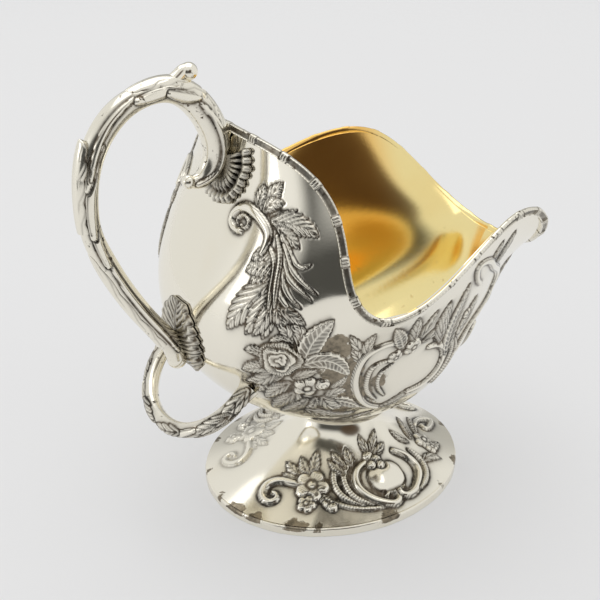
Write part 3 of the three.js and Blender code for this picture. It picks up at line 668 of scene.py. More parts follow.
# Chased work of the bowl's side, from the back to the front: kind, half width or radius, height,
# lobes or petals, and its line as the angle from the lip in degrees and the height on the bowl
BOWL_WORK = [
    ("leaf", 2.6, 0.42, 4, [(-159, 106), (-157.5, 109), (-156.5, 112), (-155, 114.5)]),
    ("leaf", 1.7, 0.4, 3, [(-161, 107), (-161, 109.5), (-161, 113)]),
    ("leaf", 1.8, 0.38, 3, [(-158, 106.5), (-156, 108.5), (-152, 109.5)]),
    ("leaf", 1.5, 0.45, 2, [(-154.5, 105.5), (-150, 106.5), (-147, 108.5)]),
    ("leaf", 3, 0.5, 5, [(-153, 104.5), (-146.5, 105), (-141, 104.5), (-136, 103)]),
    ("leaf", 1.8, 0.42, 3, [(-150, 103), (-145, 101.5), (-140, 99.5)]),
    ("feather", 1.15, 0.42, 0, [(-148, 101.5), (-142, 97.5), (-136, 95), (-133, 96)]),
    ("feather", 1.15, 0.42, 0, [(-146, 99.5), (-139.5, 94.5), (-132, 91), (-125.5, 88.5)]),
    ("feather", 1.15, 0.42, 0, [(-145, 97.5), (-138.5, 92), (-131.5, 89), (-126.5, 87)]),
    ("feather", 1.15, 0.42, 0, [(-144, 95), (-138, 89.5), (-133, 86.5), (-129, 85)]),
    ("feather", 1.15, 0.42, 0, [(-143, 92.5), (-138, 87), (-133.5, 84.5), (-129.5, 82)]),
    ("leaf", 1.7, 0.38, 2, [(-140, 84.5), (-138, 80), (-138, 74.5)]),
    ("leaf", 2, 0.42, 3, [(-137, 84), (-132.5, 80), (-127, 77)]),
    ("leaf", 1.6, 0.38, 3, [(-134.5, 83.5), (-129.5, 82), (-124.5, 80)]),
    ("leaf", 4.2, 0.55, 5, [(-144, 90.5), (-146, 86), (-150, 81), (-153, 75)]),
    ("leaf", 2.4, 0.5, 3, [(-142, 86.5), (-143, 81), (-145, 75)]),
    ("leaf", 1.8, 0.45, 3, [(-140, 84.5), (-140, 79), (-142, 75)]),
    ("leaf", 1.6, 0.45, 2, [(-146, 92), (-149, 90.5), (-151.5, 88.5)]),
    ("leaf", 3, 0.62, 4, [(-146, 95.5), (-149, 94), (-152, 92.5), (-155, 91)]),
    ("leaf", 1.8, 0.5, 2, [(-148.5, 97), (-152, 96), (-155, 94)]),
    ("ridge", 0.75, 0.55, 0, [(-152, 99), (-146, 95), (-143, 90), (-140, 83.5)]),
    ("ridge", 0.75, 0.6, 0, [(-150, 101.5), (-145, 96.5), (-142, 91), (-138, 84)]),
    ("scroll", 1.6, 0.75, 0, [(-164, 99.5), (-167, 99.5), (-169.5, 101), (-169, 103.5), (-165, 105.5),
      (-161, 105), (-157, 103.5), (-153, 101), (-152, 98.5), (-152, 96)]),
    ("ridge", 0.55, 0.55, 0, [(-166, 100.5), (-167, 102), (-165, 103.5), (-163, 103), (-162, 102),
      (-163, 100.5), (-165, 101)]),
    ("leaf", 2, 0.42, 2, [(-128, 75), (-130.5, 78), (-134.5, 79.5)]),
    ("leaf", 1.8, 0.42, 2, [(-124.5, 74.5), (-125.5, 78), (-129.5, 79.5)]),
    ("leaf", 1.6, 0.4, 3, [(-136, 70), (-140, 70.5), (-144, 70)]),
    ("leaf", 1.5, 0.4, 3, [(-127, 74.5), (-131, 75), (-135, 74)]),
    ("blade", 3.6, 0.6, 4, [(-120.5, 69), (-119.5, 74.5), (-117.5, 78.5), (-115.5, 81.5)]),
    ("blade", 3.3, 0.6, 4, [(-120, 67), (-114, 68), (-109, 66), (-104.5, 60.5)]),
    ("blade", 2.3, 0.5, 4, [(-133, 61), (-137, 58), (-143, 54.5)]),
    ("leaf", 1.8, 0.45, 3, [(-129, 62), (-134, 61), (-140, 60.5)]),
    ("leaf", 1.6, 0.4, 3, [(-125, 56), (-128, 51), (-134, 47)]),
    ("leaf", 1.6, 0.4, 3, [(-119, 52), (-123, 48), (-129, 44)]),
    ("blade", 2.0, 0.45, 3, [(-114, 51), (-108.5, 49), (-104.5, 45.5)]),
    ("leaf", 1.5, 0.4, 3, [(-112, 55), (-107.5, 57.5), (-105, 60)]),
    ("leaf", 1.7, 0.42, 3, [(-124, 61.5), (-119, 63), (-115, 64)]),
    ("leaf", 2.4, 0.42, 4, [(-133.5, 65), (-139, 64.5), (-145, 62.5)]),
    ("leaf", 2.2, 0.42, 3, [(-132, 63), (-138.5, 59.5), (-145, 58)]),
    ("leaf", 2.4, 0.45, 4, [(-127, 59), (-132, 56.5), (-140, 51.5)]),
    ("leaf", 2.2, 0.42, 4, [(-127, 54.5), (-133, 51), (-142, 46)]),
    ("leaf", 2, 0.4, 4, [(-123, 51.5), (-131, 47.5), (-140.5, 44)]),
    ("leaf", 2, 0.42, 3, [(-114.5, 52), (-110, 54), (-106.5, 53.5)]),
    ("leaf", 2.2, 0.45, 3, [(-116, 52), (-114, 47.5), (-110.5, 47)]),
    ("leaf", 2.4, 0.42, 5, [(-125.5, 46.5), (-121, 43.5), (-114.5, 42), (-107.5, 43)]),
    ("leaf", 2, 0.4, 5, [(-130, 38.5), (-120.5, 36), (-108, 39), (-99.5, 41)]),
    ("rose", 6.3, 1.05, 0, [(-129.5, 68.5)]),
    ("flower", 3.9, 0.8, 5, [(-120, 57.5)]),
    ("bud", 2.1, 0.8, 0, [(-114, 58)]),
    ("leaf", 1.8, 0.42, 3, [(-100, 65.5), (-103, 71), (-107.5, 76)]),
    ("leaf", 1.8, 0.42, 3, [(-99, 66), (-100, 71.5), (-99.5, 75.5)]),
    ("leaf", 1.4, 0.38, 2, [(-101, 65), (-103, 68.5), (-105, 70.5)]),
    ("scroll", 1.35, 0.6, 0, [(-88, 68), (-94, 69.5), (-98.5, 67.5), (-101, 62.5), (-102.5, 56),
      (-103, 50.5), (-101.5, 45.5), (-96, 42.5)]),
    ("ridge", 0.8, 0.5, 0, [(-91, 62), (-95, 61.5), (-98, 56.5), (-99, 51), (-97, 47)]),
    ("ridge", 0.6, 0.42, 0, [(-88.5, 59.5), (-92, 58), (-94.5, 53.5), (-93, 47.5)]),
    ("leaf", 1.8, 0.42, 5, [(-96, 42.5), (-89, 43), (-83, 44.5), (-75, 43.5)]),
    ("blade", 2.3, 0.5, 3, [(-86, 66), (-89, 71), (-93, 75.5)]),
    ("leaf", 2.1, 0.45, 3, [(-82, 67), (-83, 71.5), (-84.5, 76)]),
    ("leaf", 1.9, 0.45, 3, [(-79, 67), (-77, 71), (-76, 75)]),
    ("leaf", 1.7, 0.42, 3, [(-77, 64), (-73, 65.5), (-70, 68)]),
    ("flower", 2.5, 0.6, 5, [(-88, 62.5)]),
    ("flower", 3.1, 0.7, 5, [(-81.5, 64)]),
    ("scroll", 1.3, 0.55, 0, [(-74, 60), (-69, 58.5), (-65, 53.5), (-66, 48.5), (-72, 45.5), (-83, 45.5)]),
    ("ridge", 0.8, 0.45, 0, [(-63, 59), (-60, 53), (-61, 47.5), (-68, 43)]),
    ("ridge", 0.7, 0.4, 0, [(-60, 57), (-56.5, 51), (-57.5, 45.5), (-64, 41)]),
    ("leaf", 3.0, 0.5, 5, [(-69, 60.5), (-70.5, 68), (-71, 76)]),
    ("blade", 3.2, 0.55, 6, [(-64, 54), (-64, 61.5), (-63.5, 70), (-64.5, 79)]),
    ("blade", 2.5, 0.5, 4, [(-59, 58), (-56, 63), (-53.5, 69.5)]),
    ("leaf", 2.2, 0.45, 4, [(-50, 79), (-50, 84), (-52, 90)]),
    ("leaf", 1.6, 0.42, 3, [(-54, 80), (-56, 84), (-57, 89)]),
    ("scroll", 1.3, 0.55, 0, [(-56, 75), (-63, 81), (-65, 84.5), (-61.5, 84.5), (-52, 79), (-39, 68.5),
      (-39, 62.5), (-44.5, 59.5), (-51, 56.5), (-56, 50.5)]),
    ("flower", 1.8, 0.5, 5, [(-57, 64.5)]),
] + FRONT_WORK

# Darker ground between the work: angle from the lip, height, reach and strength
BOWL_SHADES = [
    (-110, 71, 7, 0.72), (-107, 62, 8, 0.85), (-106, 53, 8, 0.85), (-113, 46, 7, 0.62), (-126, 45, 7, 0.52),
    (-95, 54, 5, 0.68), (-97, 46, 5, 0.55), (-138, 63, 5, 0.40), (-64, 62, 5, 0.45), (-54, 72, 4, 0.42),
    (-20, 46, 5, 0.45),
]

# Chased work of the foot's near side: the line as the angle round the foot and the share up the cone
FOOT_WORK = [
    ("leaf", 1.9, 0.5, 3, [(218, 0.281), (208, 0.338), (195, 0.395)]),
    ("leaf", 1.7, 0.5, 3, [(218, 0.321), (212, 0.391), (204, 0.475)]),
    ("leaf", 1.6, 0.5, 3, [(221, 0.355), (218, 0.448), (216, 0.559)]),
    ("leaf", 1.5, 0.5, 2, [(214, 0.254), (208, 0.284), (199, 0.308)]),
    ("scroll", 1.5, 0.8, 0, [(218, 0.261), (210, 0.264), (200, 0.247), (196, 0.191), (198, 0.134),
      (204, 0.104), (207, 0.124), (206, 0.157), (203, 0.164)]),
    ("leaf", 1.5, 0.45, 2, [(230, 0.201), (234, 0.161), (239, 0.117)]),
    ("ridge", 0.8, 0.5, 0, [(233, 0.184), (243, 0.127), (251, 0.094), (261, 0.070), (269, 0.067)]),
    ("scroll", 1.1, 0.7, 0, [(233, 0.151), (237, 0.117), (239, 0.134), (237, 0.157)]),
    ("ridge", 1, 0.7, 0, [(239, 0.478), (235, 0.371), (238, 0.254), (245, 0.167), (254, 0.107)]),
    ("ridge", 1, 0.8, 0, [(250, 0.465), (242, 0.378), (244, 0.258), (250, 0.164), (259, 0.094)]),
    ("scroll", 1.5, 1, 0, [(261, 0.438), (251, 0.365), (251, 0.254), (257, 0.157), (265, 0.084),
      (271, 0.064), (273, 0.117), (270, 0.151), (267, 0.127)]),
    ("scroll", 1.5, 1, 0, [(287, 0.425), (295, 0.294), (294, 0.184), (287, 0.107), (280, 0.074),
      (275, 0.097), (275, 0.147), (278, 0.147)]),
    ("ridge", 1, 0.7, 0, [(302, 0.341), (302, 0.201), (295, 0.107), (286, 0.067)]),
    ("leaf", 1.3, 0.5, 2, [(242, 0.408), (236, 0.478), (229, 0.565)]),
    ("leaf", 1.3, 0.5, 2, [(247, 0.425), (244, 0.508), (241, 0.599)]),
    ("leaf", 1.2, 0.45, 2, [(241, 0.358), (235, 0.415), (228, 0.478)]),
    ("leaf", 1.3, 0.6, 2, [(263, 0.492), (260, 0.579), (255, 0.706)]),
    ("leaf", 1.3, 0.6, 2, [(266, 0.522), (271, 0.615), (278, 0.726)]),
    ("leaf", 1.3, 0.6, 2, [(269, 0.475), (276, 0.512), (283, 0.542)]),
    ("leaf", 1.4, 0.5, 3, [(317, 0.361), (326, 0.428), (342, 0.465)]),
    ("leaf", 1.4, 0.5, 3, [(310, 0.375), (306, 0.472), (302, 0.595)]),
    ("leaf", 1.4, 0.5, 3, [(328, 0.311), (338, 0.311), (350, 0.304)]),
    ("scroll", 1.2, 0.7, 0, [(340, 0.281), (352, 0.157), (352, 0.097), (344, 0.137), (339, 0.204),
      (342, 0.224)]),
    ("leaf", 1.5, 0.5, 2, [(304, 0.187), (311, 0.151), (314, 0.084)]),
    ("leaf", 1.4, 0.5, 2, [(317, 0.197), (323, 0.140), (328, 0.117)]),
    ("shield", 6.2, 1.1, 0, [(271, 0.258)]),
    ("flower", 5.4, 1, 5, [(223, 0.261)]),
    ("flower", 3, 0.9, 5, [(224, 0.134)]),
    ("bud", 1.5, 0.8, 0, [(238, 0.117)]),
    ("bud", 1.7, 0.9, 0, [(262, 0.472)]),
    ("bud", 1.7, 0.9, 0, [(268, 0.418)]),
    ("bud", 1.5, 0.9, 0, [(270, 0.365)]),
    ("bud", 1.5, 0.9, 0, [(263, 0.388)]),
    ("flower", 3.6, 0.8, 5, [(322, 0.241)]),
    ("flower", 2.4, 0.7, 5, [(319, 0.171)]),
]

# Cast work of the handle and the ring: the line as the share along the bar and the angle round it
HANDLE_WORK = [
    ("scroll", 0.8, 0.3, 0, [(0.05, 96), (0.12, 92), (0.2, 92), (0.3, 96)]),
    ("scroll", 1.3, 0.4, 0, [(0.27, 84), (0.32, 92), (0.37, 100), (0.41, 104)]),
    ("scroll", 1.5, 0.45, 0, [(0.33, 80), (0.38, 88), (0.43, 96), (0.47, 100)]),
    ("scroll", 1.4, 0.4, 0, [(0.50, 92), (0.47, 84), (0.44, 76), (0.42, 66)]),
    ("scroll", 1.0, 0.4, 0, [(0.58, 60), (0.54, 68), (0.49, 76), (0.44, 84)]),
    ("scroll", 1.6, 0.55, 0, [(0.585, 80), (0.61, 92), (0.64, 86), (0.67, 66)]),
    ("scroll", 1.6, 0.55, 0, [(0.65, 92), (0.675, 98), (0.70, 88), (0.72, 68)]),
    ("scroll", 1.2, 0.4, 0, [(0.97, 80), (0.9, 75), (0.84, 70), (0.78, 72), (0.73, 80)]),
]
RING_WORK = [
    ("leaf", 2.4, 0.4, 2, [(0.02, -60), (0.09, -50), (0.16, -40)]),
    ("leaf", 2.0, 0.42, 3, [(0.13, -20), (0.21, -30), (0.30, -38)]),
    ("scroll", 1.1, 0.4, 0, [(0.28, -50), (0.33, -40), (0.38, -20), (0.42, 0)]),
    ("leaf", 1.8, 0.4, 2, [(0.36, -50), (0.43, -40), (0.5, -35)]),
    ("leaf", 1.8, 0.35, 3, [(0.1, 60), (0.2, 50), (0.32, 45)]),
]
# Far side: the plume behind this angle takes less of the way round, as the photo shows none of it
PLUME_FROM = 120
PLUME_SQUEEZE = 0.58


def round_bowl(angles, side):
    """Angles of the near side's work on either side; the far plume keeps clear of the back."""
    size = np.abs(np.asarray(angles, float))
    if side == FAR:
        size = np.minimum(size, PLUME_FROM + PLUME_SQUEEZE * (size - PLUME_FROM))
    return np.radians(size) * side


def chase_bowl(relief, side):
    for angle, rise, reach, strength in BOWL_SHADES:
        gap = np.linalg.norm(relief.points - wall_point(round_bowl(angle, side), rise), axis=1)
        relief.shade = np.maximum(relief.shade, strength * np.exp(-(gap / reach) ** 4))
    relief.chase(BOWL_WORK, lambda angles, rises: wall_point(round_bowl(angles, side), rises))


# Finishes

class Value:
    """A socket that can be used in arithmetic: each operation adds a Math node."""

    def __init__(self, finish, socket):
        self.finish, self.socket = finish, socket

    def math(self, operation, *values):
        return self.finish.node("ShaderNodeMath", {"operation": operation}, dict(enumerate(values)))

    def __add__(self, other):
        return self.math("ADD", self, other)

    def __mul__(self, other):
        return self.math("MULTIPLY", self, other)

    def __truediv__(self, other):
        return self.math("DIVIDE", self, other)

    def __rtruediv__(self, other):
        return self.math("DIVIDE", other, self)

    __radd__, __rmul__ = __add__, __mul__

    def root(self):
        return self.math("SQRT", self)

    def clamped(self):
        """The value kept between 0 and 1."""
        return self.math("MAXIMUM", self.math("MINIMUM", self, 1.0), 0.0)


class Finish:
    """A material that is built node by node."""

    def __init__(self, name, owner=None):
        self.material = owner or bpy.data.materials.new(name)
        self.material.use_nodes = True
        self.tree = self.material.node_tree
        self.tree.nodes.clear()

    def node(self, kind, settings=None, sockets=None, output=0):
        """One node: its settings first, then the values or links of its sockets."""
        node = self.tree.nodes.new(kind)
        for key, value in (settings or {}).items():
            setattr(node, key, value)
        for key, value in (sockets or {}).items():
            if isinstance(value, Value):
                self.tree.links.new(value.socket, node.inputs[key])
            else:
                node.inputs[key].default_value = value
        return Value(self, node.outputs[output]) if len(node.outputs) else None

    @property
    def place(self):
        return self.node("ShaderNodeTexCoord", output="Object")

    def part(self, vector, axis):
        """X, Y or Z of a vector."""
        return self.node("ShaderNodeSeparateXYZ", {}, {"Vector": vector}, axis)

    def noise(self, scale, detail=3.0, roughness=0.55, distortion=0.0):
        return self.node("ShaderNodeTexNoise", {}, {
            "Vector": self.place, "Scale": scale, "Detail": detail,
            "Roughness": roughness, "Distortion": distortion,
        })

    def ramp(self, value, low, high):
        """0 at the low value and 1 at the high one, with a soft rise between."""
        return self.node("ShaderNodeMapRange", {"interpolation_type": "SMOOTHSTEP"}, {
            0: value, 1: low, 2: high, 3: 0.0, 4: 1.0,
        })

    def spots(self, low, high, *noise):
        return self.ramp(self.noise(*noise), low, high)

    def mix(self, share, first, second):
        """Colour between two others."""
        return self.node("ShaderNodeMix", {"data_type": "RGBA"}, {0: share, 6: first, 7: second}, 2)

    def mark(self, name):
        """Float that the mesh carries at its corners."""
        return self.node("ShaderNodeAttribute", {"attribute_name": name}, output="Fac")

    def bump(self, strength, height):
        return self.node("ShaderNodeBump", {}, {
            "Strength": strength, "Distance": BUMP_DISTANCE, "Height": height,
        })

    def surface(self, sockets):
        shader = self.node("ShaderNodeBsdfPrincipled", {}, sockets)
        self.node("ShaderNodeOutputMaterial", {}, {"Surface": shader})


def colour(red, green, blue):
    return (red, green, blue, 1.0)


SILVER = colour(0.92, 0.88, 0.77)
SILVER_WARM = colour(0.88, 0.81, 0.65)
TARNISH = colour(0.045, 0.038, 0.030)
TARNISH_BROWN = colour(0.135, 0.108, 0.078)
BARE_DARK = colour(0.125, 0.108, 0.082)
BARE_LIGHT = colour(0.34, 0.29, 0.215)
GOLD = colour(0.97, 0.82, 0.40)
GOLD_DEEP = colour(0.93, 0.70, 0.28)
# Painted reflection: the red of light bounced between the gilt walls, laid on the far wall
GOLD_RED_REFLECTION = colour(0.95, 0.58, 0.17)
GOLD_SPECK = colour(0.45, 0.26, 0.08)
BUMP_DISTANCE = 0.0001
# Patterns of the silver plate, as repeats in a metre
PATCHES = 55.0
SPECKS = 420.0
GRAIN = 600.0
PITS = 520.0
PITTED_PLACES = 75.0
BROWNS = 130.0
CHIPS = 190.0
MOTTLES = 330.0
CLOUDS = 90.0
SCRATCHES = 1500.0
DENTS = 160.0
# Patterns of the gilding, as repeats in a metre
GOLD_CLOUDS = 28.0
GOLD_SPECKS = 380.0
GOLD_GLOSS = 60.0
GOLD_GRAIN = 900.0
# Painted reflection on the far wall: a redder tinge of the gilding that stands in for light bounced between
# the gilt walls, in metres: where it fades out ahead and behind, below and to the side
RED_REFLECTION_AHEAD = (0.060, 0.046)
RED_REFLECTION_BEHIND = (0.0, 0.02)
RED_REFLECTION_BELOW = (0.052, 0.068)
RED_REFLECTION_SIDE = (0.0, 0.015)


def silver(name, roughness, wear, dents=0.25, chipped=False, spots=0.0):
    """Silver plate: clean on the raised work, dark in the hollows, with soft brown patches."""
    make = Finish(name)
    patches = make.spots(0.52, 0.75, PATCHES, 4.0)
    specks = make.spots(0.60, 0.78, SPECKS, 2.0)
    dull = (patches * wear + specks * (wear * 0.35)).clamped()
    dark = (make.mark("hollow") * (make.noise(GRAIN, 2.0) * 0.7 + 0.65)).clamped()
    if spots:
        pits = make.spots(0.60, 0.70, PITS, 3.0, 0.6) * make.spots(0.42, 0.62, PITTED_PLACES)
        dark = (dark + pits * spots).clamped()
    warm = make.mix(dull * 0.6, SILVER, SILVER_WARM)
    brown = make.mix(make.spots(0.4, 0.6, BROWNS, 2.0), TARNISH, TARNISH_BROWN)
    tone = make.mix(dark, warm, brown)
    if chipped:
        chip = make.ramp(make.mark("bare") + make.noise(CHIPS, 6.0, 0.72, 0.5) * 1.5, 1.28, 1.36)
        mottled = make.spots(0.28, 0.62, MOTTLES, 4.0, 0.7)
        tone = make.mix(chip, tone, make.mix(mottled, BARE_DARK, BARE_LIGHT))
        dark = (dark + chip * 0.45).clamped()
    gloss = dull * 0.18 + dark * 0.15 + make.noise(CLOUDS) * 0.05 + roughness
    scratched = make.noise(SCRATCHES, 2.0, 0.6) * 0.4 + make.noise(DENTS, 2.0) * dents
    make.surface({
        "Base Color": tone, "Metallic": 1.0, "Roughness": gloss, "Normal": make.bump(0.10, scratched),
    })
    return make.material


def gilding():
    """Gilt inside of the bowl: smooth and bright, with a painted reflection, a redder tinge on the far wall
    for light bounced between the gilt walls.
    """
    make = Finish("gilding")
    cloud = make.spots(0.35, 0.7, GOLD_CLOUDS)
    specks = make.spots(0.66, 0.8, GOLD_SPECKS, 2.0)
    ahead, aside, up = (make.part(make.place, axis) for axis in "XYZ")
    # Painted reflection: the far wall is tinted redder, standing in for light bounced inside the gilt bowl
    red_reflection = make.ramp(ahead, *RED_REFLECTION_AHEAD) * make.ramp(ahead, *RED_REFLECTION_BEHIND)
    red_reflection = red_reflection * make.ramp(up, *RED_REFLECTION_BELOW) * make.ramp(aside, *RED_REFLECTION_SIDE)
    tone = make.mix(red_reflection, make.mix(cloud * 0.5, GOLD, GOLD_DEEP), GOLD_RED_REFLECTION)
    tone = make.mix(specks * 0.35, tone, GOLD_SPECK)
    gloss = make.noise(GOLD_GLOSS) * 0.05 + specks * 0.1 + 0.11
    make.surface({
        "Base Color": tone, "Metallic": 1.0, "Roughness": gloss,
        "Normal": make.bump(0.08, make.noise(GOLD_GRAIN, 2.0)),
    })
    return make.material


polished = silver("polished_silver", 0.075, 0.35, chipped=True)
cast = silver("cast_silver", 0.14, 0.7, spots=1.2)
border_silver = silver("border_silver", 0.18, 0.9, spots=1.5)
dull_cast = silver("dull_cast_silver", 0.24, 0.9, spots=1.6)
foot_silver = silver("foot_silver", 0.10, 0.5, chipped=True)
worn = silver("worn_silver", 0.16, 0.8)
worn_marked = silver("edge_silver", 0.18, 0.9, chipped=True)
gilt = gilding()


# Bowl halves

def bowl_skin(side, first, last, columns, cap_rows, wall_rows, margin=0):
    """Corners and normals of a part of the bowl, from the middle of its dish up to the border."""
    place = np.arange(-margin, columns + margin + 1)[:, None] / columns
    u = side * np.pi * (first + (last - first) * place)
    cap_share = np.linspace(0, 1, cap_rows + 1)[None, :-1]
    cap = cap_point(u, cap_share)
    off_pole = np.maximum(cap_share, 0.02)
    along = cap_point(u + STEP, off_pole) - cap_point(u - STEP, off_pole)
    out = cap_point(u, off_pole + STEP) - cap_point(u, off_pole - STEP)
    share = np.linspace(0, 1, wall_rows + 1)[None, :]
    wall = wall_point(u, BOWL_FLOOR + (sheet_top(u) - BOWL_FLOOR) * (1 - (1 - share) ** 1.2))
    normals = np.concatenate([unit(np.cross(along, out)), wall_normal(u, wall[..., 2])], 1)
    normals[:, 0] = [0, 0, -1]
    return np.concatenate([cap, wall], 1), normals


def bowl_panel(side, name, first, last, columns, node):
    """Part of a bowl half between two angles from the lip, with its gilt lining and closed edges."""
    def level_seam(grid):
        """The halves meet in the middle plane."""
        for row, at in ((0, first), (-1, last)):
            if at in (0, 1):
                grid[row, :, 1] = 0
        return grid

    points, normals = bowl_skin(side, first, last, columns, *SKIN_ROWS, SEAM_MARGIN)
    relief = Relief(points, normals)
    chase_bowl(relief, side)
    height, hollow = relief.settled(BOWL_HALF * np.pi * (last - first) / columns)
    own = slice(SEAM_MARGIN, -SEAM_MARGIN)
    bm = bmesh.new()
    skin = (points + normals * height[..., None])[own]
    # The bowl's darker ground between the work is laid through the same mark as chipped plating
    lattice(bm, level_seam(skin), {"hollow": hollow[own], "bare": relief.ground_darkening()[own]})
    silver_faces = set(bm.faces)
    lining, facing = bowl_skin(side, first, last, *LINING_GRID)
    clean = np.zeros(lining.shape[:2])
    lattice(bm, level_seam(lining - facing * BOWL_SHEET), {"hollow": clean, "bare": clean})
    for face in bm.faces:
        face.material_index = 0 if face in silver_faces else 1
    bmesh.ops.remove_doubles(bm, verts=bm.verts, dist=MERGED)
    bmesh.ops.bridge_loops(bm, edges=[edge for edge in bm.edges if edge.is_boundary])
    piece = finished(name, bm, [polished, gilt])
    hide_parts(node)


# Building helpers

def round_trip(grid, axis=1):
    """Grid that runs round along an axis and ends where it began."""
    return np.concatenate([grid, np.take(grid, [0], axis)], axis)


def shell_of(bm):
    """Joins the seams of a bmesh and closes its open ends."""
    bmesh.ops.remove_doubles(bm, verts=bm.verts, dist=MERGED)
    open_edges = [edge for edge in bm.edges if edge.is_boundary]
    if open_edges:
        bmesh.ops.holes_fill(bm, edges=open_edges, sides=0)


def between(bm, outer, inner, marks):
    """Closed slab between two grids with the same number of rows and columns."""
    loop = np.concatenate([outer, inner[:, ::-1], outer[:, :1]], 1)
    dark = np.concatenate([marks, np.full(marks.shape, 0.5), marks[:, :1]], 1)
    lattice(bm, loop, {"hollow": dark})
    shell_of(bm)


def ball(centre, radius):
    bm = bmesh.new()
    bmesh.ops.create_uvsphere(bm, u_segments=BALL_GRID[0], v_segments=BALL_GRID[1], radius=radius * MM)
    bmesh.ops.translate(bm, verts=bm.verts, vec=Vector(in_frame(centre)))
    return bm


def joined(name, parts, node, slot, *materials):
    """One piece out of several closed bodies, in the place of a node of the frame."""
    whole = bmesh.new()
    for part in parts:
        bmesh.ops.recalc_face_normals(part, faces=part.faces)
        mesh = bpy.data.meshes.new("part")
        part.to_mesh(mesh)
        part.free()
        whole.from_mesh(mesh)
        bpy.data.meshes.remove(mesh)
    piece = finished(name, whole, materials, outwards=False)
    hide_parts(node)


# Foot

neck_radius = NECK_SHARE * half_at(BOWL_FLOOR)
cone_bottom = BAND_HEIGHT + SOLDER_GAP


def oval(angle, inset, z):
    angle, inset, z = np.broadcast_arrays(angle, inset, np.asarray(z, float))
    length, width = FOOT_LENGTH / 2 - inset, FOOT_WIDTH / 2 - inset
    return np.stack([length * np.cos(angle), width * np.sin(angle), z], -1)


def cone_point(angle, share, inset=0.0):
    """Outside of the foot at an angle and a share of the way up, or that far inside it."""
    angle, share = np.broadcast_arrays(np.asarray(angle, float), np.asarray(share, float))
    neck = cap_point(angle, NECK_SHARE * (1 - inset / neck_radius))
    edge = oval(angle, BAND_EDGE + inset, 0.0)
    spread = ((1 - share) ** FOOT_FLARE)[..., None]
    flat = neck + (edge - neck) * spread
    drop = inset * (1 - share) * np.minimum(1, share * 6)
    z = cone_bottom + (neck[..., 2] - SOLDER_GAP - cone_bottom) * share - drop
    return np.stack([flat[..., 0], flat[..., 1], z], -1)


def foot_cone():
    down = np.linspace(0, 1, 300)
    far = distance_along(cone_point(-np.pi / 2, down))
    share = np.interp(np.linspace(0, far[-1], CONE_COLUMNS + 1), far, down)[None]
    angle = TURN * np.arange(FOOT_ROWS)[:, None] / FOOT_ROWS
    points = cone_point(angle, share)
    normals = lattice_normals(points)
    relief = Relief(points, normals)
    for mirror in (1, -1):
        relief.chase(FOOT_WORK, lambda angles, shares: cone_point(np.radians(angles) * mirror, shares))
    height, hollow = relief.settled(FOOT_SPACING, round_rows=True)
    rubbed = np.exp(-((np.degrees(angle) - RUBBED_PLACE) / RUBBED_WIDTH) ** 4)
    height, hollow = height * (1 - RUBBED_FLAT * rubbed), hollow * (1 - RUBBED_PALE * rubbed)
    raised = points + normals * height[..., None]
    inner = cone_point(angle, share[:, ::-1][:, ::CONE_INNER_STEP], FOOT_SHEET)
    from_edge = np.linalg.norm(points - points[:, :1], axis=-1)
    bare = worn_edge(angle) * bell(from_edge, CHIP_REACH)
    pad = np.zeros(inner.shape[:2])
    loop, dark, chips = (
        round_trip(np.concatenate([over, under, over[:, :1]], 1), 0)
        for over, under in ((raised, inner), (hollow, pad), (bare, pad))
    )
    bm = bmesh.new()
    lattice(bm, loop, {"hollow": dark, "bare": chips})
    shell_of(bm)
    joined("foot_cone_skin", [bm], "foot_cone", "polished_silver", foot_silver)


def worn_edge(angle):
    """How bare the plating is at the foot's edge, by the angle round it."""
    degrees = np.degrees(angle) % 360
    bare = 0 * degrees
    for place, width, strength in WORN_PLACES:
        away = np.abs((degrees - place + 180) % 360 - 180)
        bare = np.maximum(bare, strength * bell(away, width))
    return bare


def foot_edge_band():
    """Oval band with a slightly uneven rim."""
    angle = TURN * np.arange(FOOT_ROWS + 1)[:, None] / FOOT_ROWS
    inset, z = np.transpose(BAND_SECTION)
    waves = np.sin(9 * angle + 1) + 0.7 * np.sin(23 * angle) + 0.4 * np.sin(51 * angle + 2)
    points = oval(angle, inset[None] + BAND_UNEVEN * waves * (inset[None] < 1), z[None] + 0 * angle)
    points[-1] = points[0]
    bare = worn_edge(angle) * (0.35 + 0.65 * (z[None] > 1.8)) + 0 * inset[None]
    bm = bmesh.new()
    lattice(bm, round_trip(points), {"hollow": round_trip(0 * bare), "bare": round_trip(bare)})
    shell_of(bm)
    joined("foot_edge_strip", [bm], "foot_edge_band", "worn_silver", worn_marked)


def foot_collar():
    """Ring in the joint of the bowl and the foot."""
    angle = TURN * np.arange(COLLAR_ROWS + 1)[:, None] / COLLAR_ROWS
    across, down = np.transpose(COLLAR_SECTION)
    share = NECK_SHARE * (1 + (SOLDER_GAP + COLLAR_WIDTH * across[None]) / neck_radius)
    points = cap_point(angle, share)
    points[..., 2] -= SOLDER_GAP + COLLAR_DROP * down[None]
    points[-1] = points[0]
    bm = bmesh.new()
    lattice(bm, round_trip(points), {"hollow": np.full((COLLAR_ROWS + 1, len(down) + 1), COLLAR_DARKNESS)})
    shell_of(bm)
    joined("foot_collar_ring", [bm], "foot_collar", "worn_silver", worn)


# Rim border

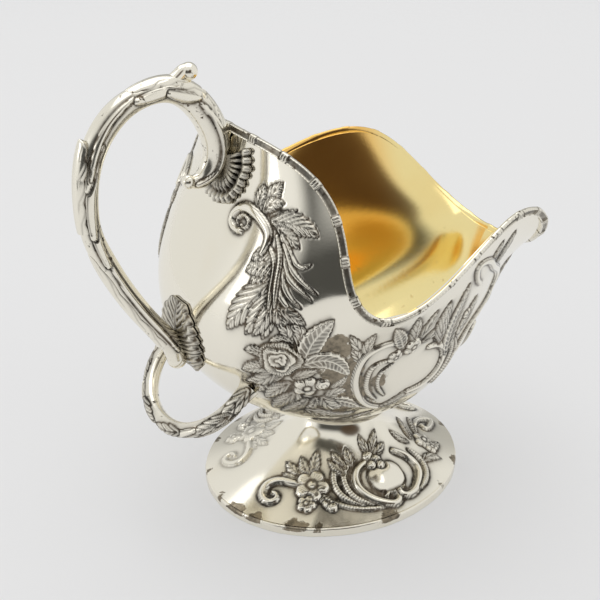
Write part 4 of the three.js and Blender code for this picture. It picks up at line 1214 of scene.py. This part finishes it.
def rim_border(side, name, node):
    """Bundle of reeds along half the rim, tied with ribbons at even distances."""
    u = side * np.pi * np.linspace(0, 1, BORDER_SAMPLES)
    far = distance_along(rim_frame(u)[0])
    bands = round(far[-1] / RIBBON_PITCH)
    travelled = np.linspace(0, far[-1], BORDER_STEPS)
    u = np.interp(travelled, far, u) if side > 0 else -np.interp(travelled, far, -u)
    point, _, normal, across = rim_frame(u)
    phase = travelled / far[-1] * bands
    away = np.abs(phase - np.round(phase)) * far[-1] / bands
    knot = 1 / (1 + np.exp((away - RIBBON_LENGTH / 2) / RIBBON_FADE))
    cords = knot * wave(TURN * away / RIBBON_CORDS)
    reed = wave(TURN * (travelled / REED_BEADS))
    edge = bell(away - RIBBON_LENGTH / 2, RIBBON_EDGE)
    knot, cords, reed, edge = (values[:, None] for values in (knot, cords, reed, edge))
    over, out, bead, channel = (np.array(column) for column in zip(*BORDER_FACE))
    half = BORDER_HALF * (1 + RIBBON_SWELL * knot)
    depth = np.where(out > 0, out * BORDER_PROUD, out * BORDER_LINING) + 0 * half
    depth = depth + channel * (-CHANNEL_DEPTH + CHANNEL_DEPTH * knot + CORD_HEIGHT * cords)
    depth = depth + bead * (BEAD_HEIGHT + BEAD_RIPPLE * reed * (1 - knot))
    loops = point[:, None] + normal[:, None] * depth[..., None] + across[:, None] * (half * over)[..., None]
    loops[[0, -1], :, 1] = 0
    dark = channel * (0.80 * (1 - knot) + 0.85 * knot * (1 - cords / knot.clip(0.05)))
    dark = np.maximum(dark, 0.9 * edge * (out > 0)) + 0.25 * bead * (1 - reed)
    bm = bmesh.new()
    lattice(bm, round_trip(loops), {
        "hollow": round_trip(np.clip(dark, 0, 1)), "lining": round_trip((out < -0.3) + 0 * half),
    })
    lining = bm.verts.layers.float["lining"]
    for face in bm.faces:
        face.material_index = int(min(vert[lining] for vert in face.verts) > 0.5)
    shell_of(bm)
    joined(name, [bm], node, "cast_silver", border_silver, gilt)


# Bars: the handle and the scoop ring

def bar(stations):
    """Round bar in the middle plane through stations of x, z and thickness."""
    x, z, thick = np.transpose(stations)
    far = distance_along(np.stack([x, 0 * x, z], -1))
    index = np.linspace(0, 1, len(far))
    x_at, z_at, thick_at = spline(far, x), spline(far, z), spline(far, thick)

    def place(share):
        at = np.interp(share, index, far)
        return np.stack([x_at(at), 0 * at, z_at(at)], -1), thick_at(at) / 2

    def surface(share, angle, offset=0.0):
        share, angle = np.broadcast_arrays(np.asarray(share, float), np.asarray(angle, float))
        point, radius = place(share)
        ahead, behind = np.minimum(share + BAR_STEP, 1), np.maximum(share - BAR_STEP, 0)
        tangent = unit(place(ahead)[0] - place(behind)[0])
        outside = np.stack([-tangent[..., 2], 0 * radius, tangent[..., 0]], -1)
        reach = radius + offset
        sideways = np.stack([0 * radius, reach * HANDLE_BREADTH * np.sin(angle), 0 * radius], -1)
        return point + outside * (reach * np.cos(angle))[..., None] + sideways
    return place, surface


def cast_bar(surface, grid, chase, shape=None):
    """Bar with work laid over it, in a bmesh of its own."""
    steps, sides = grid
    share = np.linspace(0, 1, steps + 1)[:, None]
    angle = TURN * np.arange(sides)[None] / sides
    points = surface(share, angle)
    normals = unit(surface(share, angle, 0.1) - points)
    relief = Relief(points, normals)
    if shape is not None:
        relief.height += shape(share + 0 * angle, angle + 0 * share).ravel()
    chase(relief)
    height, hollow = relief.settled(BAR_SPACING, round_columns=True)
    bm = bmesh.new()
    lattice(bm, round_trip(points + normals * height[..., None]), {"hollow": round_trip(hollow)})
    shell_of(bm)
    return bm


def bar_leaf(surface, first, last, spread, lift):
    """Acanthus leaf wrapped over a bar, toothed and veined, drawn to a lifted point."""
    k = np.linspace(0, 1, LEAF_GRID[0] + 1)[:, None]
    j = np.linspace(-1, 1, LEAF_GRID[1] + 1)[None]
    share = first + (last - first) * k
    saw = np.abs(np.cos(k * np.pi * LEAF_TEETH))
    outline = np.sqrt(np.maximum(0, 1 - k ** LEAF_TAPER)) * (1 - LEAF_TOOTH_DEPTH * (1 - saw))
    width = np.maximum(np.radians(spread) * outline, 0.05)
    body = 1 - LEAF_RIB_SHARE * j ** 2
    rays = wave(TURN * (2.1 * np.abs(j) - 0.9 * k * LEAF_TEETH)) ** 4
    rays = 0.7 * rays * (np.abs(j) > 0.45) * np.clip((1 - k) * 4, 0, 1)
    vein = bell(j, 0.05)
    settling = 1 - 0.9 * (lift == 0) * k ** 5
    lifted = LEAF_LIFT * lift * k ** 3
    outer = surface(share, j * width, lifted + LEAF_THICK * body * settling - 0.14 * rays - 0.06 * vein)
    inner = surface(share, j * width, -LEAF_THICK + 0.85 * lifted * (k > 0.55))
    dark = np.clip(0.45 * rays + 0.15 * vein + 0.6 * np.abs(j) ** 12 + 0 * k, 0, 1)
    bm = bmesh.new()
    between(bm, outer, inner, dark)
    return bm


def ridged(share, angle):
    """Two ridges that run along the handle's smooth upper limb."""
    limb = np.clip((share - LIMB_FROM) / 0.06, 0, 1) * np.clip((1.0 - share) / 0.05, 0, 1)
    ridges = sum(
        bell(np.abs(np.cos(angle / 2 + turned * RIDGE_ANGLE)) - 1, RIDGE_WIDTH) for turned in (-0.5, 0.5)
    )
    return RIDGE_HEIGHT * limb * ridges


def handle():
    place, surface = bar(HANDLE_STATIONS)
    scroll_place, scroll_surface = bar(SCROLL_STATIONS)

    def chase(relief):
        for mirror in (1, -1):
            relief.chase(HANDLE_WORK, lambda shares, angles: surface(shares, np.radians(angles) * mirror))

    parts = [cast_bar(surface, HANDLE_GRID, chase, ridged)]
    parts += [bar_leaf(surface, *leaf) for leaf in HANDLE_LEAVES]
    parts += [
        cast_bar(scroll_surface, SCROLL_GRID, lambda relief: None),
        ball(scroll_place(1.0)[0], SCROLL_BALL),
        ball(place(0.0)[0], LOWER_BALL),
        ball(place(1.0)[0], UPPER_BALL),
    ]
    joined("handle_casting", parts, "handle", "cast_silver", cast)


def scoop_ring():
    """Bow from one side of the bowl's back round to the other, broader where it is soldered on."""
    seat = np.radians(RING_ANGLE)
    end = wall_point(seat, RING_HEIGHT) - wall_normal(seat, RING_HEIGHT) * RING_SINK
    tilt = np.radians(RING_TILT)
    down_back = np.array([-np.cos(tilt), 0, -np.sin(tilt)])
    face = np.array([-down_back[2], 0, down_back[0]])
    near = [end * [1, -half, 1] + down_back * RING_DEPTH * along for along, half in RING_STATIONS]
    far = [point * [1, -1, 1] for point in near[:-1]][::-1]
    line = np.array(near + far)
    reach = distance_along(line)
    curves = [spline(reach, line[:, k]) for k in range(3)]

    def place(share):
        return np.stack([curve(share * reach[-1]) for curve in curves], -1)

    def surface(share, angle, offset=0.0):
        share, angle = np.broadcast_arrays(np.asarray(share, float), np.asarray(angle, float))
        tangent = unit(place(share + BAR_STEP) - place(share - BAR_STEP))
        outward = unit(np.cross(tangent, face))
        spread = 1 + (RING_END_SPREAD / RING_THICK - 1) * np.abs(2 * share - 1) ** 8
        wide = (RING_THICK / 2 * spread + offset) * np.cos(angle)
        deep = (RING_THICK / 2 / np.sqrt(spread) + offset) * np.sin(angle)
        return place(share) + outward * wide[..., None] + face * deep[..., None]

    def chase(relief):
        relief.chase(RING_WORK, lambda shares, angles: surface(shares, np.radians(angles)))
        relief.chase(RING_WORK, lambda shares, angles: surface(1 - shares, np.radians(angles)))

    ring = cast_bar(surface, RING_GRID, chase)
    joined("scoop_ring_casting", [ring], "scoop_ring", "cast_silver", cast)


# Mounts on the back of the bowl

def back_point(y, z, offset):
    """Place on the bowl's back, lifted off it."""
    u = np.pi - np.arcsin(np.clip(y / half_at(z), -1, 1))
    return wall_point(u, z) + wall_normal(u, z) * np.asarray(offset)[..., None]


def swell(k, first, last):
    return np.sin(np.pi * (first + (1 - last - first) * k)) ** 0.65


def shell_mount():
    """Fan of pleats under the handle's upper end, with a trench and a bead round its edge."""
    share = np.linspace(0, 1, SHELL_LOBES * SHELL_GRID[0] + 1)[:, None]
    k = np.linspace(0, 1, SHELL_GRID[1] + 1)[None]
    lobe = np.abs(np.sin(share * SHELL_LOBES * np.pi))
    angle = (share - 0.5) * np.radians(SHELL_SWEEP)
    uneven = np.sin(7 * share * np.pi) * 0.5 + np.sin(17 * share * np.pi + 1) * 0.5
    radius = SHELL_RADIUS * (1 - 0.09 * (1 - lobe ** 0.7) + 0.035 * uneven) * (0.12 + 0.88 * k)
    pleated = np.clip((k - SHELL_PLEATS_FROM) / 0.12, 0, 1)
    round_lobe = 1 - pleated * 0.65 * (1 - lobe ** 0.7)
    bead, trench = bell(k - SHELL_BEAD, 0.055), bell(k - SHELL_TRENCH, 0.07)
    offset = SOLDER_GAP + SHELL_THICK + SHELL_RELIEF * round_lobe * swell(k, 0.15, 0.05)
    offset = offset + SHELL_BEAD_HEIGHT * bead - SHELL_TRENCH_DEPTH * trench
    y, z = radius * np.sin(angle), SHELL_HEIGHT - radius * np.cos(angle)
    outer, inner = back_point(y, z, offset), back_point(y, z, SOLDER_GAP + 0 * offset)
    dark = 0.35 + 0.5 * pleated * (1 - lobe) + 0.3 * (k < 0.45) + 0.5 * trench - 0.3 * bead
    bm = bmesh.new()
    between(bm, outer, inner, np.clip(dark, 0, 1) + 0 * offset)
    joined("handle_shell_casting", [bm], "handle_shell_mount", "cast_silver", dull_cast)


def leaf_mount():
    """Pointed leaf under the handle's lower end, with curled sides and slanting veins."""
    k = np.linspace(0, 1, LEAF_MOUNT_GRID[0] + 1)[:, None]
    j = np.linspace(-1, 1, LEAF_MOUNT_GRID[1] + 1)[None]
    saw = np.abs(np.cos(k * np.pi * LEAF_MOUNT_TEETH + 0.6 * np.sin(9 * k)))
    body = swell(k, 0.06, 0.06)
    half = LEAF_MOUNT_HALF * body * (1 - 0.12 * (1 - saw))
    z = LEAF_MOUNT_FOOT + LEAF_MOUNT_HEIGHT * k
    curl = 2.2 * j ** 2 * (1 - j ** 4) + 0.35 * (1 - j ** 2)
    slanted = k * LEAF_MOUNT_VEINS - 3.2 * np.abs(j) + 0.3 * np.sin(13 * k)
    rays = wave(TURN * slanted) ** 2 * (np.abs(j) > 0.1)
    vein = bell(j, 0.05)
    offset = SOLDER_GAP + LEAF_MOUNT_THICK + LEAF_MOUNT_RELIEF * curl * body
    offset = offset - 0.32 * rays * body - 0.1 * vein
    outer = back_point(j * half, z + 0 * j, offset)
    inner = back_point(j * half, z + 0 * j, SOLDER_GAP + 0 * offset)
    dark = 0.2 + 0.55 * rays + 0.4 * vein + 0.4 * (1 - curl / 1.3) + 0 * k
    bm = bmesh.new()
    between(bm, outer, inner, np.clip(dark, 0, 1))
    joined("handle_leaf_casting", [bm], "handle_leaf_mount", "cast_silver", dull_cast)


for side, node in ((NEAR, "bowl_near_half"), (FAR, "bowl_far_half")):
    bowl_panel(side, node + "_front", 0, PANEL_SEAM, FRONT_COLUMNS, node)
    bowl_panel(side, node + "_back", PANEL_SEAM, 1, BACK_COLUMNS, node)
rim_border(NEAR, "rim_border_near_strip", "rim_border_near")
rim_border(FAR, "rim_border_far_strip", "rim_border_far")
handle()
shell_mount()
leaf_mount()
scoop_ring()
foot_cone()
foot_edge_band()
foot_collar()


# Floor, light and camera, in metres

FLOOR_HALF = 0.8
FLOOR_FADE = (0.79, 0.55)
FLOOR_PALE = colour(0.82, 0.82, 0.825)
# The camera and the metal see a floor that is partly lit from itself, so its shadow is soft
FLOOR_SEEN = colour(0.42, 0.42, 0.425)
FLOOR_GLOW = colour(0.375, 0.375, 0.377)
BACKDROP = colour(0.78, 0.78, 0.785)
ROOM_PALE = colour(0.80, 0.80, 0.79)
# Parts of the room that the metal mirrors: azimuth and elevation, outer and inner angle, and colour
ROOM_WINDOW = (-104, 9, 26, 8), colour(0.90, 0.90, 0.90)
ROOM_DIM = (140, 8, 40, 20), colour(0.46, 0.46, 0.45)
ROOM_BROWN = (-8, 17, 22, 12), colour(0.078, 0.053, 0.035)
# The dark end of the room: its azimuth, outer and inner angle, and where it ends upwards
DARK_AZIMUTH = -36
DARK_ANGLES = (48, 28)
DARK_TOP = (0.54, 0.28)
ROOM_DARK = colour(0.04, 0.04, 0.037)

bm = bmesh.new()
bmesh.ops.create_grid(bm, x_segments=1, y_segments=1, size=FLOOR_HALF)
mesh = bpy.data.meshes.new("floor")
bm.to_mesh(mesh)
bm.free()
floor = bpy.data.objects.new("floor", mesh)
bpy.context.scene.collection.objects.link(floor)
floor_look = Finish("floor")
far_out = floor_look.node("ShaderNodeVectorMath", {"operation": "LENGTH"}, {0: floor_look.place}, "Value")
looked_at = floor_look.node("ShaderNodeLightPath", output="Is Camera Ray")
seen = looked_at + floor_look.node("ShaderNodeLightPath", output="Is Glossy Ray")
floor_look.surface({
    "Base Color": floor_look.mix(seen, FLOOR_PALE, FLOOR_SEEN),
    "Emission Color": floor_look.mix(seen, colour(0, 0, 0), FLOOR_GLOW),
    "Emission Strength": 1.0,
    "Roughness": 0.6,
    "Alpha": floor_look.ramp(far_out, *FLOOR_FADE),
})
mesh.materials.append(floor_look.material)

world = bpy.data.worlds.new("studio")
bpy.context.scene.world = world
studio = Finish("studio", world)
x, y, z = (studio.part(studio.node("ShaderNodeTexCoord", output="Generated"), axis) for axis in "XYZ")


def towards(azimuth, elevation, outer, inner):
    """1 within the inner angle of a direction and 0 beyond the outer one, all in degrees."""
    azimuth, elevation, outer, inner = np.radians([azimuth, elevation, outer, inner])
    flat = math.cos(elevation)
    aligned = x * (math.sin(azimuth) * flat) + y * (-math.cos(azimuth) * flat) + z * math.sin(elevation)
    return studio.ramp(aligned, math.cos(outer), math.cos(inner))


def towards_dark():
    """1 at the dark end of the room, at any height below its top."""
    ahead = math.radians(DARK_AZIMUTH)
    facing = (x * math.sin(ahead) + y * -math.cos(ahead)) / (x * x + y * y).root()
    return studio.ramp(facing, *np.cos(np.radians(DARK_ANGLES))) * studio.ramp(z, *DARK_TOP)


room = studio.mix(towards(*ROOM_WINDOW[0]), ROOM_PALE, ROOM_WINDOW[1])
room = studio.mix(towards(*ROOM_DIM[0]), room, ROOM_DIM[1])
room = studio.mix(towards_dark() * 0.96, room, ROOM_DARK)
room = studio.mix(towards(*ROOM_BROWN[0]) * 0.95, room, ROOM_BROWN[1])
shown = studio.mix(studio.node("ShaderNodeLightPath", output="Is Camera Ray"), room, BACKDROP)
background = studio.node("ShaderNodeBackground", {}, {"Color": shown, "Strength": 1.0})
studio.node("ShaderNodeOutputWorld", {}, {"Surface": background})


LAMP_AIM = Vector((0, 0, 0.06))


def lamp(name, place, size, power):
    """Rectangular lamp that shines on the middle of the bowl."""
    data = bpy.data.lights.new(name, "AREA")
    data.shape, data.size, data.size_y, data.energy = "RECTANGLE", *size, power
    light = bpy.data.objects.new(name, data)
    light.location = place
    light.rotation_mode = "QUATERNION"
    light.rotation_quaternion = (LAMP_AIM - Vector(place)).to_track_quat("-Z", "Y")
    bpy.context.scene.collection.objects.link(light)


lamp("window_light", place=(-1.27, 0.32, 0.36), size=(0.34, 0.38), power=0.5)
lamp("top_light", place=(0.1, 0.2, 1.5), size=(1.5, 1.5), power=6)

# The photograph's camera: its direction, what it looks at in the object's millimetres, and how far off
AZIMUTH, ELEVATION = math.radians(-33.2), math.radians(27.6)
CAMERA_AIM = [-12.58, 0, 64.42]
CAMERA_DISTANCE = 0.3637
SENSOR_WIDTH, LENS = 36, 72
camera_data = bpy.data.cameras.new("camera")
camera_data.sensor_width, camera_data.lens = SENSOR_WIDTH, LENS
camera_data.clip_start = 0.01
camera = bpy.data.objects.new("camera", camera_data)
bpy.context.scene.collection.objects.link(camera)
away = Vector((
    math.sin(AZIMUTH) * math.cos(ELEVATION),
    -math.cos(AZIMUTH) * math.cos(ELEVATION),
    math.sin(ELEVATION),
))
camera.location = Vector(in_frame(CAMERA_AIM)) + away * CAMERA_DISTANCE
camera.rotation_mode = "QUATERNION"
camera.rotation_quaternion = (-away).to_track_quat("-Z", "Y")
bpy.context.scene.camera = camera

bpy.context.scene.view_settings.view_transform = "Standard"
